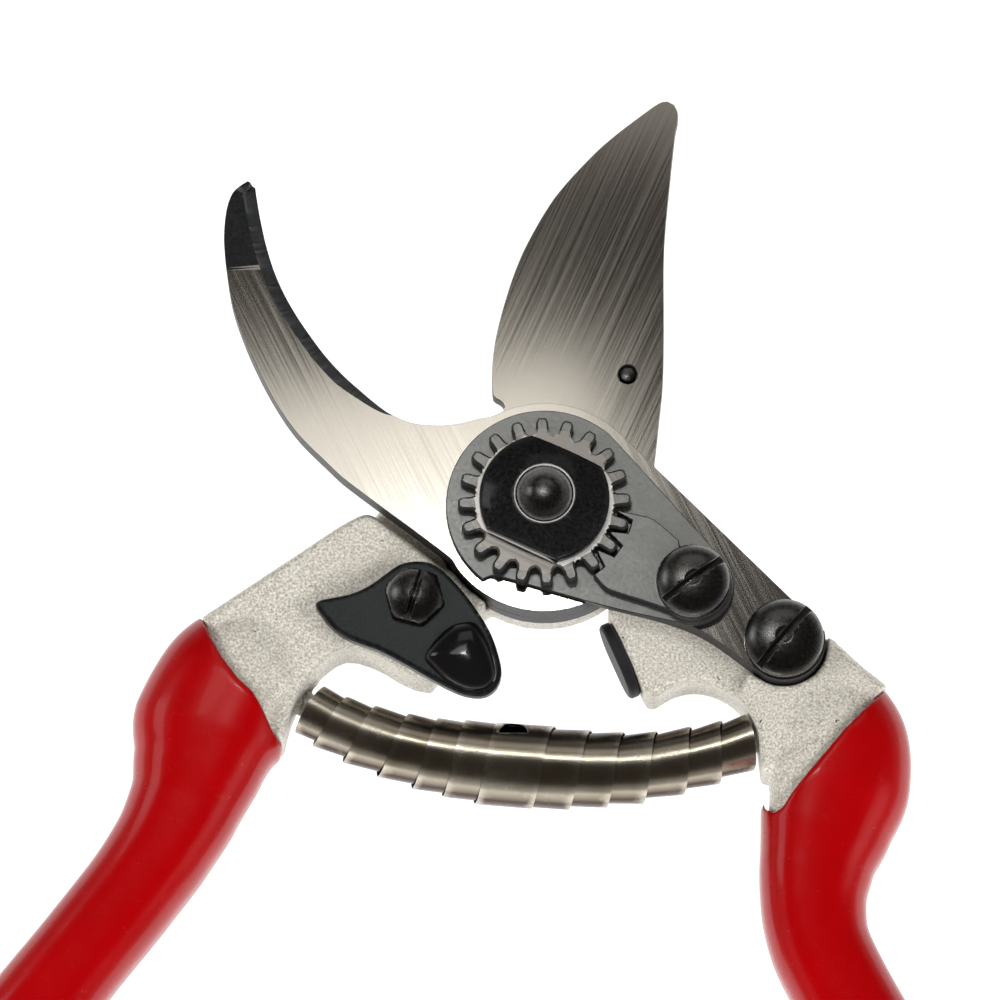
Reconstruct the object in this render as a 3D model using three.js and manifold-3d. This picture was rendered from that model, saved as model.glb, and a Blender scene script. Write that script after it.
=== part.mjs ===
// Bypass pruning shears, open, lying flat.
// Millimetres, +Z up. The plane of the blades is XY, the pivot axis is Z, and the origin is
// the middle of the pivot bolt's flat rear face. The hook side stays still; the left handle
// and the cutting blade turn counter-clockwise about Z to close.
import * as THREE from 'three';
import { mergeVertices } from 'three/addons/utils/BufferGeometryUtils.js';
import Module from 'manifold-3d';

const wasm = await Module();
wasm.setup();

// ---- Driving dimensions ---------------------------------------------------------------

const closingAngle = 58;          // degrees from fully open to shut
const bladeLength = 59.7;         // reach of the hook's tip above the pivot
const handleLength = 139.1;       // from the pivot to the last full section of a handle
const fit = 0.3;                  // clearance round a pin, a screw or a turned piece
const slideGap = 0.1;             // play between the two blades
const discGap = 0.5;              // castings stay this clear of the turning discs
const pressFit = 0.15;            // nut on its bolt, bumper stem in its hole
const weld = 0.004;               // slivers thinner than this are merged away

// The stack along the pivot, from the rear
const boltHeadThickness = 2.5;
const earThickness = 6;
const bladeThickness = 3.5;
const hookThickness = 5;
const lockPlateThickness = 1.2;
const flangeThickness = 3;        // toothed flange of the pivot nut
const bossHeight = 3.2;           // round boss above the flange
const bossDomeHeight = 1.9;
const boltDomeHeight = 2.2;       // bolt end above the boss

const discRadius = 18.7;          // round eye of each blade and of the left handle
const boltRadius = 4.9;
const boltHeadRadius = 9.5;
const bossRadius = 11.3;
const wrenchFlats = 18;
const wrenchTurn = -25;           // degrees that the flats are turned
const teeth = 20;
const firstTooth = 91.5;          // degrees from +X to one tooth's middle
const toothTip = 15;
const toothRoot = 11.9;
const lockRingRadius = 17.1;

const noseBottom = 1.5;           // lowest level of both castings
const leftBodyTop = 14.5;
const neckTop = 14.6;             // raised land of the right casting
const castEdge = 0.8;

const segmentScrew = [25.8, -14.4];
const hookScrew = [41.6, -23.8];
const screwShank = 3;
const screwSlot = 1.3;
const segmentSlotTurn = 36;
const hookSlotTurn = 50;
const segmentHeadRadius = 6.4;
const hookHeadRadius = 6.9;
const screwHeadHeight = 3.6;
const segmentThickness = 2.2;
const rearNutRadius = 4.6;
const rearNutHeight = 1.2;
const rearNutSleeve = 0.8;        // wall of the nut's sleeve round the screw
const rearNutDepth = 4.5;

const tipSlope = 7;               // degrees that the hook thins towards its tip
const tipTaperStart = 43;
const bladeRoot = 32;             // above this height the blades follow bladeLength
const gripRoot = 75;              // beyond this distance the handles follow handleLength

const bladePin = [14.6, 25.4];
const bladePinRadius = 1.75;
const earLug = 5.2;               // radius of the ear's lug round the blade's pin

const catchPivot = [-22.5, -16.4];
const catchThickness = 3;
const catchGap = 0.3;             // washer space between casting and catch
const catchHead = 5.4;
const catchHeadHeight = 3.4;
const catchHeadTurn = 15;
const catchSlot = 1.1;
const catchSlotTurn = 73;
const catchShank = 3;
const washerHeight = 0.6;
const washerRadius = 4.6;
const padHeight = 2.6;

const bumperThickness = 2.2;
const bumperLength = 14;
const bumperHeight = 9.6;
const stemRadius = 2;
const stemLength = 5;

const gripWall = 1.3;             // plastic coat round the handle
const gripMiddle = 9.5;           // height of the handles' middle plane
const coreGap = 0.15;             // between the coat and the casting inside it

const springWall = 0.8;
const studRadius = 2.4;
const studLength = 7;
const studRoot = 5;               // part of a stud that is inside its casting

// ---- Levels worked out from the stack ---------------------------------------------------

const earBottom = boltHeadThickness;
const bladeBottom = earBottom + earThickness;
const bladeTop = bladeBottom + bladeThickness;
const hookBottom = bladeTop + slideGap;
const hookTop = hookBottom + hookThickness;
const lockTop = hookTop + lockPlateThickness;
const flangeTop = lockTop + flangeThickness;
const bossTop = flangeTop + bossHeight;
const noseTop = hookBottom;
const catchBottom = leftBodyTop + catchGap;
const catchTop = catchBottom + catchThickness;

// ---- Helpers ------------------------------------------------------------------------------

const rad = THREE.MathUtils.degToRad;
const circleSteps = 36;
const gripSteps = 24;

// Stretches of an outline: straight points, an arc, or a smooth run through points.
const points = (...xy) => xy.map(([x, y]) => new THREE.Vector2(x, y));
const smooth = (steps, ...xy) => new THREE.SplineCurve(points(...xy)).getPoints(steps);
function arc([x, y], radius, from, to, steps = 16) {
  return Array.from({ length: steps + 1 }, (_, i) => {
    const a = rad(from + ((to - from) * i) / steps);
    return new THREE.Vector2(x + radius * Math.cos(a), y + radius * Math.sin(a));
  });
}
const polar = (radius, degrees) => arc([0, 0], radius, degrees, degrees, 1)[0];
// A closed smooth loop through points.
const loop = (steps, ...xy) => new THREE.CatmullRomCurve3(
  xy.map(([x, y]) => new THREE.Vector3(x, y, 0)), true, 'centripetal').getPoints(steps)
  .slice(0, -1).map((p) => new THREE.Vector2(p.x, p.y));
const turned = ([x, y], degrees) => {
  const p = new THREE.Vector2(x, y).rotateAround(new THREE.Vector2(), rad(degrees));
  return [p.x, p.y];
};

// A flat plate between two levels, with its edges broken by a chamfer or a round.
function plate(outline, bottom, top, edge = 0, rounds = 1) {
  const geometry = new THREE.ExtrudeGeometry(new THREE.Shape(outline), {
    depth: top - bottom - 2 * edge, bevelEnabled: edge > 0, bevelThickness: edge,
    bevelSize: edge, bevelOffset: -edge, bevelSegments: rounds,
  });
  return geometry.translate(0, 0, bottom + edge);
}

function rod([x, y], radius, bottom, top, steps = 32) {
  const geometry = new THREE.CylinderGeometry(radius, radius, top - bottom, steps);
  return geometry.rotateX(Math.PI / 2).translate(x, y, (bottom + top) / 2);
}

// A turned piece: profile of [radius, height] pairs from axis to axis, standing along Z.
function turnedPiece([x, y], profile, steps = 32) {
  const geometry = new THREE.LatheGeometry(points(...profile), steps);
  return geometry.rotateX(Math.PI / 2).translate(x, y, 0);
}

// A body swept through [x, y, half width, half height] sections with rounded ends.
function loft(sections, steps, { around = 20, square = 2.6, shrink = 0, cap = 2 } = {}) {
  const middle = new THREE.CatmullRomCurve3(
    sections.map(([x, y]) => new THREE.Vector3(x, y, gripMiddle)), false, 'centripetal');
  const size = new THREE.SplineCurve(points(...sections.map((s) => [s[2], s[3]])));
  const rings = [];
  for (let i = 0; i <= steps; i += 1) {
    const t = i / steps;
    rings.push({ at: middle.getPoint(t), along: middle.getTangent(t), size: size.getPoint(t) });
  }
  const position = [];
  const index = [];
  const ends = [[rings[0], -1], [rings[steps], 1]].map(([ring, side]) =>
    Array.from({ length: cap }, (_, k) => {
      const a = (Math.PI / 2) * ((k + 1) / (cap + 1));
      const depth = Math.min(ring.size.x, ring.size.y) * 0.55 - shrink;
      return {
        at: ring.at.clone().addScaledVector(ring.along, side * depth * Math.sin(a)),
        along: ring.along, size: ring.size.clone().multiplyScalar(Math.cos(a)),
      };
    }));
  const all = [...ends[0].reverse(), ...rings, ...ends[1]];
  for (const { at, along, size: half } of all) {
    const sideways = new THREE.Vector3(-along.y, along.x, 0).normalize();
    for (let j = 0; j < around; j += 1) {
      const a = (2 * Math.PI * j) / around;
      const bend = (v) => Math.sign(v) * Math.abs(v) ** (2 / square);
      const w = Math.max(half.x - shrink, 0.4) * bend(Math.cos(a));
      const h = Math.max(half.y - shrink, 0.4) * bend(Math.sin(a));
      position.push(at.x + sideways.x * w, at.y + sideways.y * w, at.z + h);
    }
  }
  for (let i = 0; i < all.length - 1; i += 1) {
    for (let j = 0; j < around; j += 1) {
      const a = i * around + j;
      const b = i * around + ((j + 1) % around);
      index.push(a, b, a + around, b, b + around, a + around);
    }
  }
  const last = all.length - 1;
  position.push(all[0].at.x, all[0].at.y, all[0].at.z);
  position.push(all[last].at.x, all[last].at.y, all[last].at.z);
  for (let j = 0; j < around; j += 1) {
    const next = (j + 1) % around;
    index.push(all.length * around, next, j);
    index.push(all.length * around + 1, last * around + j, last * around + next);
  }
  const geometry = new THREE.BufferGeometry();
  geometry.setAttribute('position', new THREE.Float32BufferAttribute(position, 3));
  geometry.setIndex(index);
  return geometry;
}

// ---- Solids -------------------------------------------------------------------------------

function solid(geometry) {
  const bare = geometry.clone();
  bare.deleteAttribute('normal');
  bare.deleteAttribute('uv');
  const welded = mergeVertices(bare, 1e-4);
  const triangles = [];
  const index = welded.index.array;
  for (let i = 0; i < index.length; i += 3) {
    const [a, b, c] = index.slice(i, i + 3);
    if (a !== b && b !== c && c !== a) triangles.push(a, b, c);
  }
  return new wasm.Manifold(new wasm.Mesh({
    numProp: 3, vertProperties: new Float32Array(welded.attributes.position.array),
    triVerts: new Uint32Array(triangles),
  }));
}
const join = (...parts) => parts.map((p) => (p.isBufferGeometry ? solid(p) : p))
  .reduce((a, b) => a.add(b));
const cut = (base, ...tools) => tools.map((p) => (p.isBufferGeometry ? solid(p) : p))
  .reduce((a, b) => a.subtract(b), base.isBufferGeometry ? solid(base) : base);
const common = (a, b) => solid(a).intersect(solid(b));

const shears = new THREE.Group();

function piece(name, shape, color, roughness, metalness) {
  const body = (shape.isBufferGeometry ? solid(shape) : shape).simplify(weld).getMesh();
  const geometry = new THREE.BufferGeometry();
  geometry.setAttribute('position', new THREE.BufferAttribute(body.vertProperties, 3));
  geometry.setIndex(new THREE.BufferAttribute(body.triVerts, 1));
  geometry.computeVertexNormals();
  const material = new THREE.MeshStandardMaterial({ color, roughness, metalness });
  const mesh = new THREE.Mesh(geometry, material);
  mesh.name = name;
  shears.add(mesh);
}

// ---- Outlines -----------------------------------------------------------------------------

const centre = [0, 0];
const hookTip = [-51.9, 59.7];
const gripEnd = [67.6, -121.6];

// The blades beyond their root, and the handles beyond theirs, are drawn out to length.
const bladeStretch = (bladeLength - bladeRoot) / (hookTip[1] - bladeRoot);
const lengthened = (outline) => outline.map((p) => (p.y > bladeRoot
  ? new THREE.Vector2(p.x, bladeRoot + (p.y - bladeRoot) * bladeStretch) : p));
const gripStretch = (handleLength - gripRoot) / (Math.hypot(...gripEnd) - gripRoot);
const drawnOut = (sections) => sections.map(([x, y, ...size]) => {
  const reach = Math.hypot(x, y);
  const share = reach > gripRoot ? (gripRoot + (reach - gripRoot) * gripStretch) / reach : 1;
  return [x * share, y * share, ...size];
});

// Hook blade: outer edge from the tip, the round eye, the tail, then the concave edge.
const hookBack = [[-34.6, 4.9], [-16.5, -9.2]];
const tailUpper = [[13.2, 13.2], [46.8, -18.4]];
const tailLower = [[9.2, -16.6], [25.9, -21.6], [37.6, -29.7]];
const hookOutline = lengthened([
  ...smooth(20, hookTip, [-54.3, 57.8], [-55.6, 54.2], [-56, 48.4], [-55.4, 42.4],
    [-54.4, 36.6], [-52.6, 31.1], [-50.2, 25.4], [-46.8, 18.9], [-42.3, 12.5], hookBack[0]),
  ...arc(centre, discRadius, 209.5, 297, 14),
  ...points(...tailLower),
  ...arc(hookScrew, 7.2, 244, 372, 12),
  ...arc(centre, discRadius, 45, 119, 12),
  ...smooth(18, [-11.4, 15.9], [-15.4, 14.9], [-19.4, 14.7], [-23.2, 15.2], [-26.8, 16.8],
    [-30.1, 19.6], [-33.6, 22.8], [-37.6, 27], [-41.4, 32.2], [-44.5, 37.2], [-47, 42.6],
    [-48.9, 49.1], [-50.1, 55.4], [-50.6, 58.9]),
]);

const bladeOutline = lengthened([
  ...smooth(12, [19.1, 8], [20.1, 17.1], [20.8, 24], [21, 33.4], [21, 43.4], [21.2, 50],
    [21.7, 56], [22.4, 62.9], [23.1, 69.4]),
  ...smooth(6, [23.6, 72], [23.3, 74.1], [21.8, 75.2], [20.3, 74.9], [18.4, 73.6]),
  ...smooth(18, [15.8, 71.6], [10.9, 67.6], [6.3, 62.9], [2.1, 57.9], [-1, 52.9],
    [-3.8, 47.4], [-5.8, 42.1], [-7.3, 37], [-8.4, 32.4], [-9, 28], [-9.1, 23.6], [-8.9, 21.5]),
  ...smooth(5, [-8.4, 21], [-7.4, 20.4], [-6.9, 19.3], [-7.6, 18]),
  ...arc(centre, discRadius, 116, 370, 36),
]);

const lockOutline = [
  ...arc(centre, lockRingRadius, 47.5, 231, 26),
  ...smooth(4, [-10.1, -13], [-9.3, -12.7], [-8.4, -12.7], [-7.4, -12.9]),
  ...points([9.8, -17.9], [18, -19.9]),
  ...arc(segmentScrew, 7.1, 250, 407, 18),
];

// Left casting: upper edge, corner by the hook, then round the eye to the nose and the arch.
const bumperFoot = [11.2, -17.5];
const bumperEnd = [17.3, -31.5];
const faceAngle = Math.atan2(bumperEnd[1] - bumperFoot[1], bumperEnd[0] - bumperFoot[0]);
const faceOut = new THREE.Vector2(Math.sin(faceAngle), -Math.cos(faceAngle));
const strike = bumperThickness + fit;
const leftFace = [bumperFoot, bumperEnd].map(([x, y]) =>
  turned([x + faceOut.x * strike, y + faceOut.y * strike], -closingAngle));
const leftOutline = [
  ...points([-63, -24], [-59.6, -18.9], [-47.6, -10.7], [-35.5, -2.4]),
  ...smooth(4, [-33, -1], [-31.6, -0.4], [-30.2, -0.4], [-29, -1.1]),
  ...points([-17.4, -10.2], [-8, -12], [-8, -15], leftFace[0], leftFace[1]),
  ...smooth(16, [-22.4, -29.4], [-25.2, -28.1], [-28.7, -25.9], [-33.4, -24.3], [-36.4, -25.2],
    [-39.3, -27.8], [-41.6, -30.6], [-43, -33.4], [-44.4, -37], [-45.4, -41.5]),
  ...points([-52, -43], [-62, -34]),
].reverse();
// A low web of the left casting that runs under the back of the hook blade.
const webOutline = points([-31.5, -2.2], [-18, -12], [-13.5, -8.5], [-27.5, 2.6]);
const leftNeck = drawnOut([
  [-46, -22.2, 11.6, 6.6], [-50, -26, 12, 8], [-54.6, -30.6, 13, 8.9], [-58.5, -38.5, 13.4, 9],
  [-60.3, -45, 11.4, 8.8], [-62.4, -51.5, 9.9, 8.5], [-65.9, -58.6, 9.1, 8.4],
  [-71, -66.3, 8.7, 8.3], [-80.3, -78.4, 8.6, 8.2], [-90, -91, 8.9, 8.4], [-95, -98, 8.6, 8.2],
]);

// Right casting: the nose with the bumper face, the arch, the neck and the shoulder.
const rightOutline = [
  ...points(bumperFoot, bumperEnd),
  ...arc([18.9, -31.3], 1.5, 205, 290, 4),
  ...smooth(18, [20.4, -32], [22.4, -30.8], [25.4, -30], [28.6, -30.3],
    [31.6, -31.6], [34.2, -33.8], [35.9, -36.6], [37, -40.4], [37.7, -46]),
  ...points([44, -48], [62, -35], [59.4, -31], [55.3, -27.7], [50.4, -23]),
  ...smooth(4, [49.6, -22.5], [48.6, -22.2], [47.4, -21.4], [46, -19.4]),
  ...points([26.6, -1.2], [20.5, -1.2]),
  ...arc(centre, discRadius + 0.8, -6, -55, 12),
];
const rightNeck = drawnOut([
  [45, -33, 12, 6.6], [47.4, -36.4, 12.4, 7.6], [50.2, -41.6, 13.2, 8.8],
  [50.4, -48.5, 13.1, 9], [48.8, -55.6, 11.6, 8.8], [47.2, -62.5, 10, 8.5],
  [46.6, -69.2, 9.2, 8.4], [47.6, -76.2, 8.8, 8.3], [50.8, -83.4, 8.7, 8.2],
  [56.6, -94.4, 8.8, 8.2], [62.4, -106, 8.9, 8.3], [66, -116, 8.8, 8.4], [...gripEnd, 8.5, 8.2],
]);

// Where the red coat starts: the bare side of each casting.
const leftBare = points([-64, -8], [-59.7, -18.6], [-58, -22.9], [-55.9, -27], [-53.1, -30.8],
  [-50.5, -33.2], [-48.7, -36.3], [-47.3, -39.4], [-46, -41.2], [-44.9, -40.7], [-43.4, -37.2],
  [-30, -40], [20, -40], [20, 40], [-64, 40]);
const rightBare = points([66, -20], [59.9, -30.4], [57.5, -33.8], [51.8, -40.1], [45.6, -47.6],
  [42.8, -51], [41.2, -53.6], [39.7, -54.3], [38.3, -53.2], [37.6, -50.2], [30, -54],
  [-10, -54], [-10, 30], [66, 30]);

const catchOutline = loop(48, [-39.8, -17.4], [-38.5, -16.7], [-34, -15.8], [-30.6, -14.3],
  [-27.6, -12.1], [-25.2, -10.4], [-22.4, -9.8], [-19.6, -10.2], [-17.3, -11.8], [-14.6, -14.7],
  [-11.9, -18.3], [-9.3, -22.7], [-7.8, -27.2], [-7.4, -30], [-8.2, -32.4], [-10, -33.8],
  [-12.2, -34], [-15, -33.3], [-19.3, -31.1], [-24.3, -28.2], [-29, -25.7], [-33.6, -24],
  [-36.8, -21.8], [-38.9, -19.2]);
const padOutline = loop(28, [-13.4, -20.9], [-15.9, -21.5], [-18.3, -23.4], [-20.2, -25.9],
  [-20.7, -27.4], [-19.6, -28.9], [-16.9, -31.4], [-13.6, -33], [-10.6, -33], [-8.6, -31.4],
  [-8.4, -28.8], [-9.4, -25.4], [-11, -22.2], [-12.2, -21]);

// A tall cutter or limit with the given outline, grown by a clearance.
function prism(outline, grow = 0, bottom = -30, top = 60) {
  const geometry = new THREE.ExtrudeGeometry(new THREE.Shape(outline), {
    depth: top - bottom, bevelEnabled: grow !== 0, bevelThickness: 0.01, bevelSize: 0,
    bevelOffset: grow, bevelSegments: 1,
  });
  return geometry.translate(0, 0, bottom);
}
const bore = (at, radius, bottom = -30, top = 60) => rod(at, radius, bottom, top, 24);

// ---- Right side: hook blade, casting, lock plate, segment, nut and bolt -------------------

const steel = 0xb9b4ab;
const darkSteel = 0x2a2c2e;
const phosphate = 0x6c6d68;
const aluminium = 0xb5b0a6;

function hookBlade() {
  const blank = plate(hookOutline, hookBottom, hookTop);
  const holes = [bore(centre, boltRadius + fit), bore(segmentScrew, screwShank + fit),
    bore(hookScrew, screwShank + fit)];
  // The tip thins towards its point, on the front face only.
  const tipTaper = new THREE.BoxGeometry(40, 60, 10).translate(0, 30, 5)
    .rotateX(rad(-tipSlope)).translate(-55, tipTaperStart, hookTop);
  return cut(blank, ...holes, tipTaper);
}

function cuttingBlade() {
  const blank = plate(bladeOutline, bladeBottom, bladeTop);
  return cut(blank, bore(centre, boltRadius + fit), bore(bladePin, bladePinRadius));
}

function lockPlate() {
  return cut(plate(lockOutline, hookTop, lockTop, 0.2), bore(centre, boltRadius + fit),
    bore(segmentScrew, screwShank + fit));
}

function toothedFlange() {
  const pitch = 360 / teeth;
  const profile = [];
  for (let i = 0; i < teeth; i += 1) {
    const middle = firstTooth + i * pitch;
    const flank = [[toothRoot, -0.5], [toothRoot + 0.5, -0.31], [toothTip - 0.6, -0.22],
      [toothTip, -0.12], [toothTip, 0.12], [toothTip - 0.6, 0.22], [toothRoot + 0.5, 0.31]];
    for (const [r, share] of flank) profile.push(polar(r, middle + share * pitch));
  }
  return plate(profile, lockTop, flangeTop, 0.35);
}

function pivotNut() {
  const boss = turnedPiece(centre, [[0, flangeTop - 0.5], [bossRadius, flangeTop - 0.5],
    [bossRadius, bossTop - 0.8], [bossRadius - 0.8, bossTop], [bossRadius - 3.6, bossTop + 1.1],
    [boltRadius + 1.2, bossTop + bossDomeHeight], [0, bossTop + bossDomeHeight]], circleSteps);
  const flats = [1, -1].map((side) => new THREE.BoxGeometry(40, 10, bossHeight + 4)
    .translate(0, side * (wrenchFlats / 2 + 5), flangeTop + bossHeight / 2 + 2)
    .rotateZ(rad(wrenchTurn)));
  return cut(join(toothedFlange(), cut(boss, ...flats)), bore(centre, boltRadius + pressFit));
}

function pivotBolt() {
  const end = bossTop + bossDomeHeight;
  return turnedPiece(centre, [[0, 0], [boltHeadRadius - 0.8, 0], [boltHeadRadius, 0.8],
    [boltHeadRadius, boltHeadThickness], [boltRadius, boltHeadThickness],
    [boltRadius, end - 0.2], [boltRadius - 0.9, end + 0.7], [boltRadius - 1.4, end + 1],
    [2.2, end + 1.9], [0, end + boltDomeHeight]], 48);
}

function toothedSegment() {
  const pitch = 360 / teeth;
  const gaps = [-16.5, -34.5, -52.5];
  const comb = gaps.flatMap((a) => [
    ...arc(centre, toothRoot + 0.75, a + pitch * 0.56, a + pitch * 0.46, 1),
    ...arc(centre, toothTip + 0.55, a + pitch * 0.24, a - pitch * 0.24, 3),
  ]);
  const outline = [
    ...points([23.4, -6.9], [20.2, -4], [18.3, -2.7], [16.6, -2.3]), ...comb,
    ...points([10.6, -15.4], [12.4, -16.2], [17.3, -17.8], [21.8, -19.4]),
    ...arc(segmentScrew, 6.6, 236, 470, 18),
  ].reverse();
  return cut(plate(outline, lockTop, lockTop + segmentThickness),
    bore(segmentScrew, screwShank + fit));
}

function slottedScrew(at, seat, radius, slotAngle) {
  const h = screwHeadHeight;
  const start = noseBottom + rearNutDepth + 0.7;
  const profile = [[0, start], [screwShank, start], [screwShank, seat],
    [radius, seat], [radius, seat + h * 0.42], [radius * 0.93, seat + h * 0.6],
    [radius * 0.76, seat + h * 0.8], [radius * 0.45, seat + h * 0.95], [0, seat + h]];
  const body = turnedPiece(at, profile, 40);
  const slot = new THREE.BoxGeometry(2 * radius + 2, screwSlot, 3).rotateZ(rad(slotAngle))
    .translate(at[0], at[1], seat + h * 0.5 + 1.5);
  return cut(body, slot);
}

function rearNut(at) {
  const face = noseBottom - rearNutHeight;
  const body = turnedPiece(at, [[0, face], [rearNutRadius - 0.4, face],
    [rearNutRadius, face + 0.4], [rearNutRadius, noseBottom],
    [screwShank + rearNutSleeve, noseBottom],
    [screwShank + rearNutSleeve, noseBottom + rearNutDepth], [0, noseBottom + rearNutDepth]], 32);
  const slot = new THREE.BoxGeometry(2 * rearNutRadius + 2, 1.2, 0.8).rotateZ(rad(30))
    .translate(at[0], at[1], face);
  return cut(body, slot);
}

// The spring's middle line, with its radius at each place, from the left seat to the right.
const springLine = [[-40.7, -34.1, 3.9], [-36.4, -36.8, 4.7], [-29.6, -39.7, 5.7],
  [-20, -42.4, 6.6], [-10, -44, 7.3], [-2, -44.7, 7.4], [7, -45.1, 7], [16, -44.8, 6.2],
  [26.2, -43, 5.3], [33.6, -40.8, 4.6], [37.2, -39.5, 4.2]];
const springSections = springLine.map(([x, y, r]) => [x, y, r, r]);

// A stud inside one end of the spring, standing out of the casting.
function stud(end, next) {
  const along = new THREE.Vector3(next[0] - end[0], next[1] - end[1], 0).normalize();
  const length = studLength + studRoot;
  const geometry = new THREE.CylinderGeometry(studRadius * 0.8, studRadius, length, 20);
  geometry.applyQuaternion(new THREE.Quaternion()
    .setFromUnitVectors(new THREE.Vector3(0, 1, 0), along));
  const out = length / 2 - studRoot;
  return geometry.translate(end[0] + along.x * out, end[1] + along.y * out, gripMiddle);
}

function bumperOval(length, height, bottom, top) {
  const side = height / 2;
  const reach = length / 2 - side;
  const oval = [...arc([reach, 0], side, -90, 90, 12), ...arc([-reach, 0], side, 90, 270, 12)];
  return plate(oval, bottom, top, 0.4);
}
function ontoNoseFace(geometry) {
  const x = (bumperFoot[0] + bumperEnd[0]) / 2;
  const y = (bumperFoot[1] + bumperEnd[1]) / 2;
  const z = (noseBottom + noseTop) / 2;
  return geometry.rotateX(Math.PI / 2).rotateZ(faceAngle).translate(x, y, z);
}

function rightHandle() {
  const nose = plate(rightOutline, noseBottom, noseTop, castEdge);
  const land = common(plate(rightOutline, 6, neckTop, 1),
    prism(points([33.2, -33.6], [38, -24], [60, -10], [70, -40], [40, -64], [30, -45])));
  const flange = join(nose, land).intersect(solid(prism(rightBare)));
  const core = loft(rightNeck, gripSteps, { shrink: gripWall + coreGap });
  const whole = join(flange, core, stud(springLine.at(-1), springLine.at(-2)));
  return cut(whole, prism(hookOutline, 0.4, noseTop, 40),
    bore(segmentScrew, screwShank + fit), bore(hookScrew, screwShank + fit),
    rod(segmentScrew, screwShank + rearNutSleeve + fit, -5, noseBottom + rearNutDepth + 0.5),
    rod(hookScrew, screwShank + rearNutSleeve + fit, -5, noseBottom + rearNutDepth + 0.5),
    bore(centre, discRadius + discGap + 0.2),
    ontoNoseFace(rod([0, 0], stemRadius + pressFit, -stemLength - fit, 1, 20)));
}

function bumper() {
  const head = bumperOval(bumperLength, bumperHeight, 0.1, bumperThickness);
  return join(ontoNoseFace(head), ontoNoseFace(rod([0, 0], stemRadius, -stemLength, 0.6, 20)));
}

function grip(sections, bare, steps) {
  const coat = loft(sections, steps);
  return cut(coat, loft(sections, steps, { shrink: gripWall }), prism(bare, 0.15));
}

// ---- Left side: casting with the ear, cutting blade, thumb catch --------------------------

function leftHandle() {
  const body = plate(leftOutline, noseBottom, leftBodyTop, 1, 2);
  const flange = common(body, prism(leftBare));
  const ear = plate([...arc(centre, discRadius - 0.3, 100, 350, 30), ...points([18.3, 2]),
    ...arc(bladePin, earLug, -6, 150, 10)], earBottom, bladeBottom);
  const core = loft(leftNeck, gripSteps, { shrink: gripWall + coreGap });
  const web = plate(webOutline, noseBottom, hookBottom - 4 * fit, castEdge);
  const whole = join(flange, ear, core, web, stud(springLine[0], springLine[1]));
  const clearOfDiscs = bore(centre, discRadius + discGap, bladeBottom, 40);
  const clearOfRear = rod(centre, boltHeadRadius + 0.6, -10, earBottom, 48);
  const hookSide = prism(hookOutline, discGap, hookBottom - 1, 40);
  return cut(whole, clearOfDiscs, clearOfRear, hookSide, bore(centre, boltRadius + fit),
    bore(catchPivot, catchShank + fit), bore(bladePin, bladePinRadius));
}

function locatingPin() {
  const r = bladePinRadius - fit;
  return turnedPiece(bladePin, [[0, earBottom], [r, earBottom], [r, bladeTop - 0.7],
    [r * 0.7, bladeTop - 0.25], [0, bladeTop - 0.05]], 20);
}

function thumbCatch() {
  return cut(plate(catchOutline, catchBottom, catchTop, 0.5, 2),
    bore(catchPivot, catchShank + fit));
}

function catchPad() {
  return plate(padOutline, catchTop, catchTop + padHeight, 0.9, 2);
}

function springWasher() {
  return cut(rod(catchPivot, washerRadius, catchTop, catchTop + washerHeight, 32),
    bore(catchPivot, catchShank + fit));
}

function catchScrew() {
  const seat = catchTop + washerHeight;
  const h = catchHeadHeight;
  const shank = rod(catchPivot, catchShank, noseBottom, seat + 0.5);
  const hexagon = new THREE.CylinderGeometry(catchHead, catchHead, h * 0.75, 6)
    .rotateX(Math.PI / 2).rotateZ(rad(catchHeadTurn))
    .translate(catchPivot[0], catchPivot[1], seat + h * 0.375);
  const dome = turnedPiece(catchPivot, [[0, seat], [catchHead, seat], [catchHead, seat + 0.2 * h],
    [catchHead * 0.86, seat + 0.55 * h], [catchHead * 0.6, seat + 0.83 * h], [0, seat + h]], 40);
  const head = join(solid(hexagon).intersect(solid(dome)));
  const slot = new THREE.BoxGeometry(2 * catchHead + 2, catchSlot, 3).rotateZ(rad(catchSlotTurn))
    .translate(catchPivot[0], catchPivot[1], seat + h * 0.5 + 1.5);
  return cut(join(shank, head), slot);
}

function voluteSpring() {
  const inner = springLine.map(([x, y, r]) => [x, y, r - springWall, r - springWall]);
  const lengthen = (line) => [along(line[1], line[0], 3), ...line.slice(1, -1),
    along(line.at(-2), line.at(-1), 3)];
  const tube = cut(loft(springSections, 14, { square: 2, around: 18, cap: 1 }),
    loft(lengthen(inner), 14, { square: 2, around: 18, cap: 1 }));
  return cut(tube, prism(leftOutline, 0.4), prism(rightOutline, 0.4),
    loft(leftNeck, 12, { shrink: -0.4 }), loft(rightNeck, 12, { shrink: -0.4 }));
}

// The point that carries a line on past its end.
function along([x0, y0], [x1, y1, w, h], by) {
  const step = new THREE.Vector2(x1 - x0, y1 - y0).setLength(by);
  return [x1 + step.x, y1 + step.y, w, h];
}

// ---- The shears ---------------------------------------------------------------------------

piece('right_handle', rightHandle(), aluminium, 0.55, 0.9);
piece('right_grip', grip(rightNeck, rightBare, gripSteps), 0xb00008, 0.25, 0);
piece('hook_blade', hookBlade(), steel, 0.32, 1);
piece('lock_plate', lockPlate(), phosphate, 0.6, 0.6);
piece('toothed_segment', toothedSegment(), phosphate, 0.5, 0.7);
piece('segment_screw', slottedScrew(segmentScrew, lockTop + segmentThickness,
  segmentHeadRadius, segmentSlotTurn), darkSteel, 0.35, 0.8);
piece('hook_screw', slottedScrew(hookScrew, hookTop, hookHeadRadius, hookSlotTurn),
  darkSteel, 0.35, 0.8);
piece('segment_screw_nut', rearNut(segmentScrew), darkSteel, 0.4, 0.8);
piece('hook_screw_nut', rearNut(hookScrew), darkSteel, 0.4, 0.8);
piece('pivot_bolt', pivotBolt(), darkSteel, 0.25, 0.8);
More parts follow.
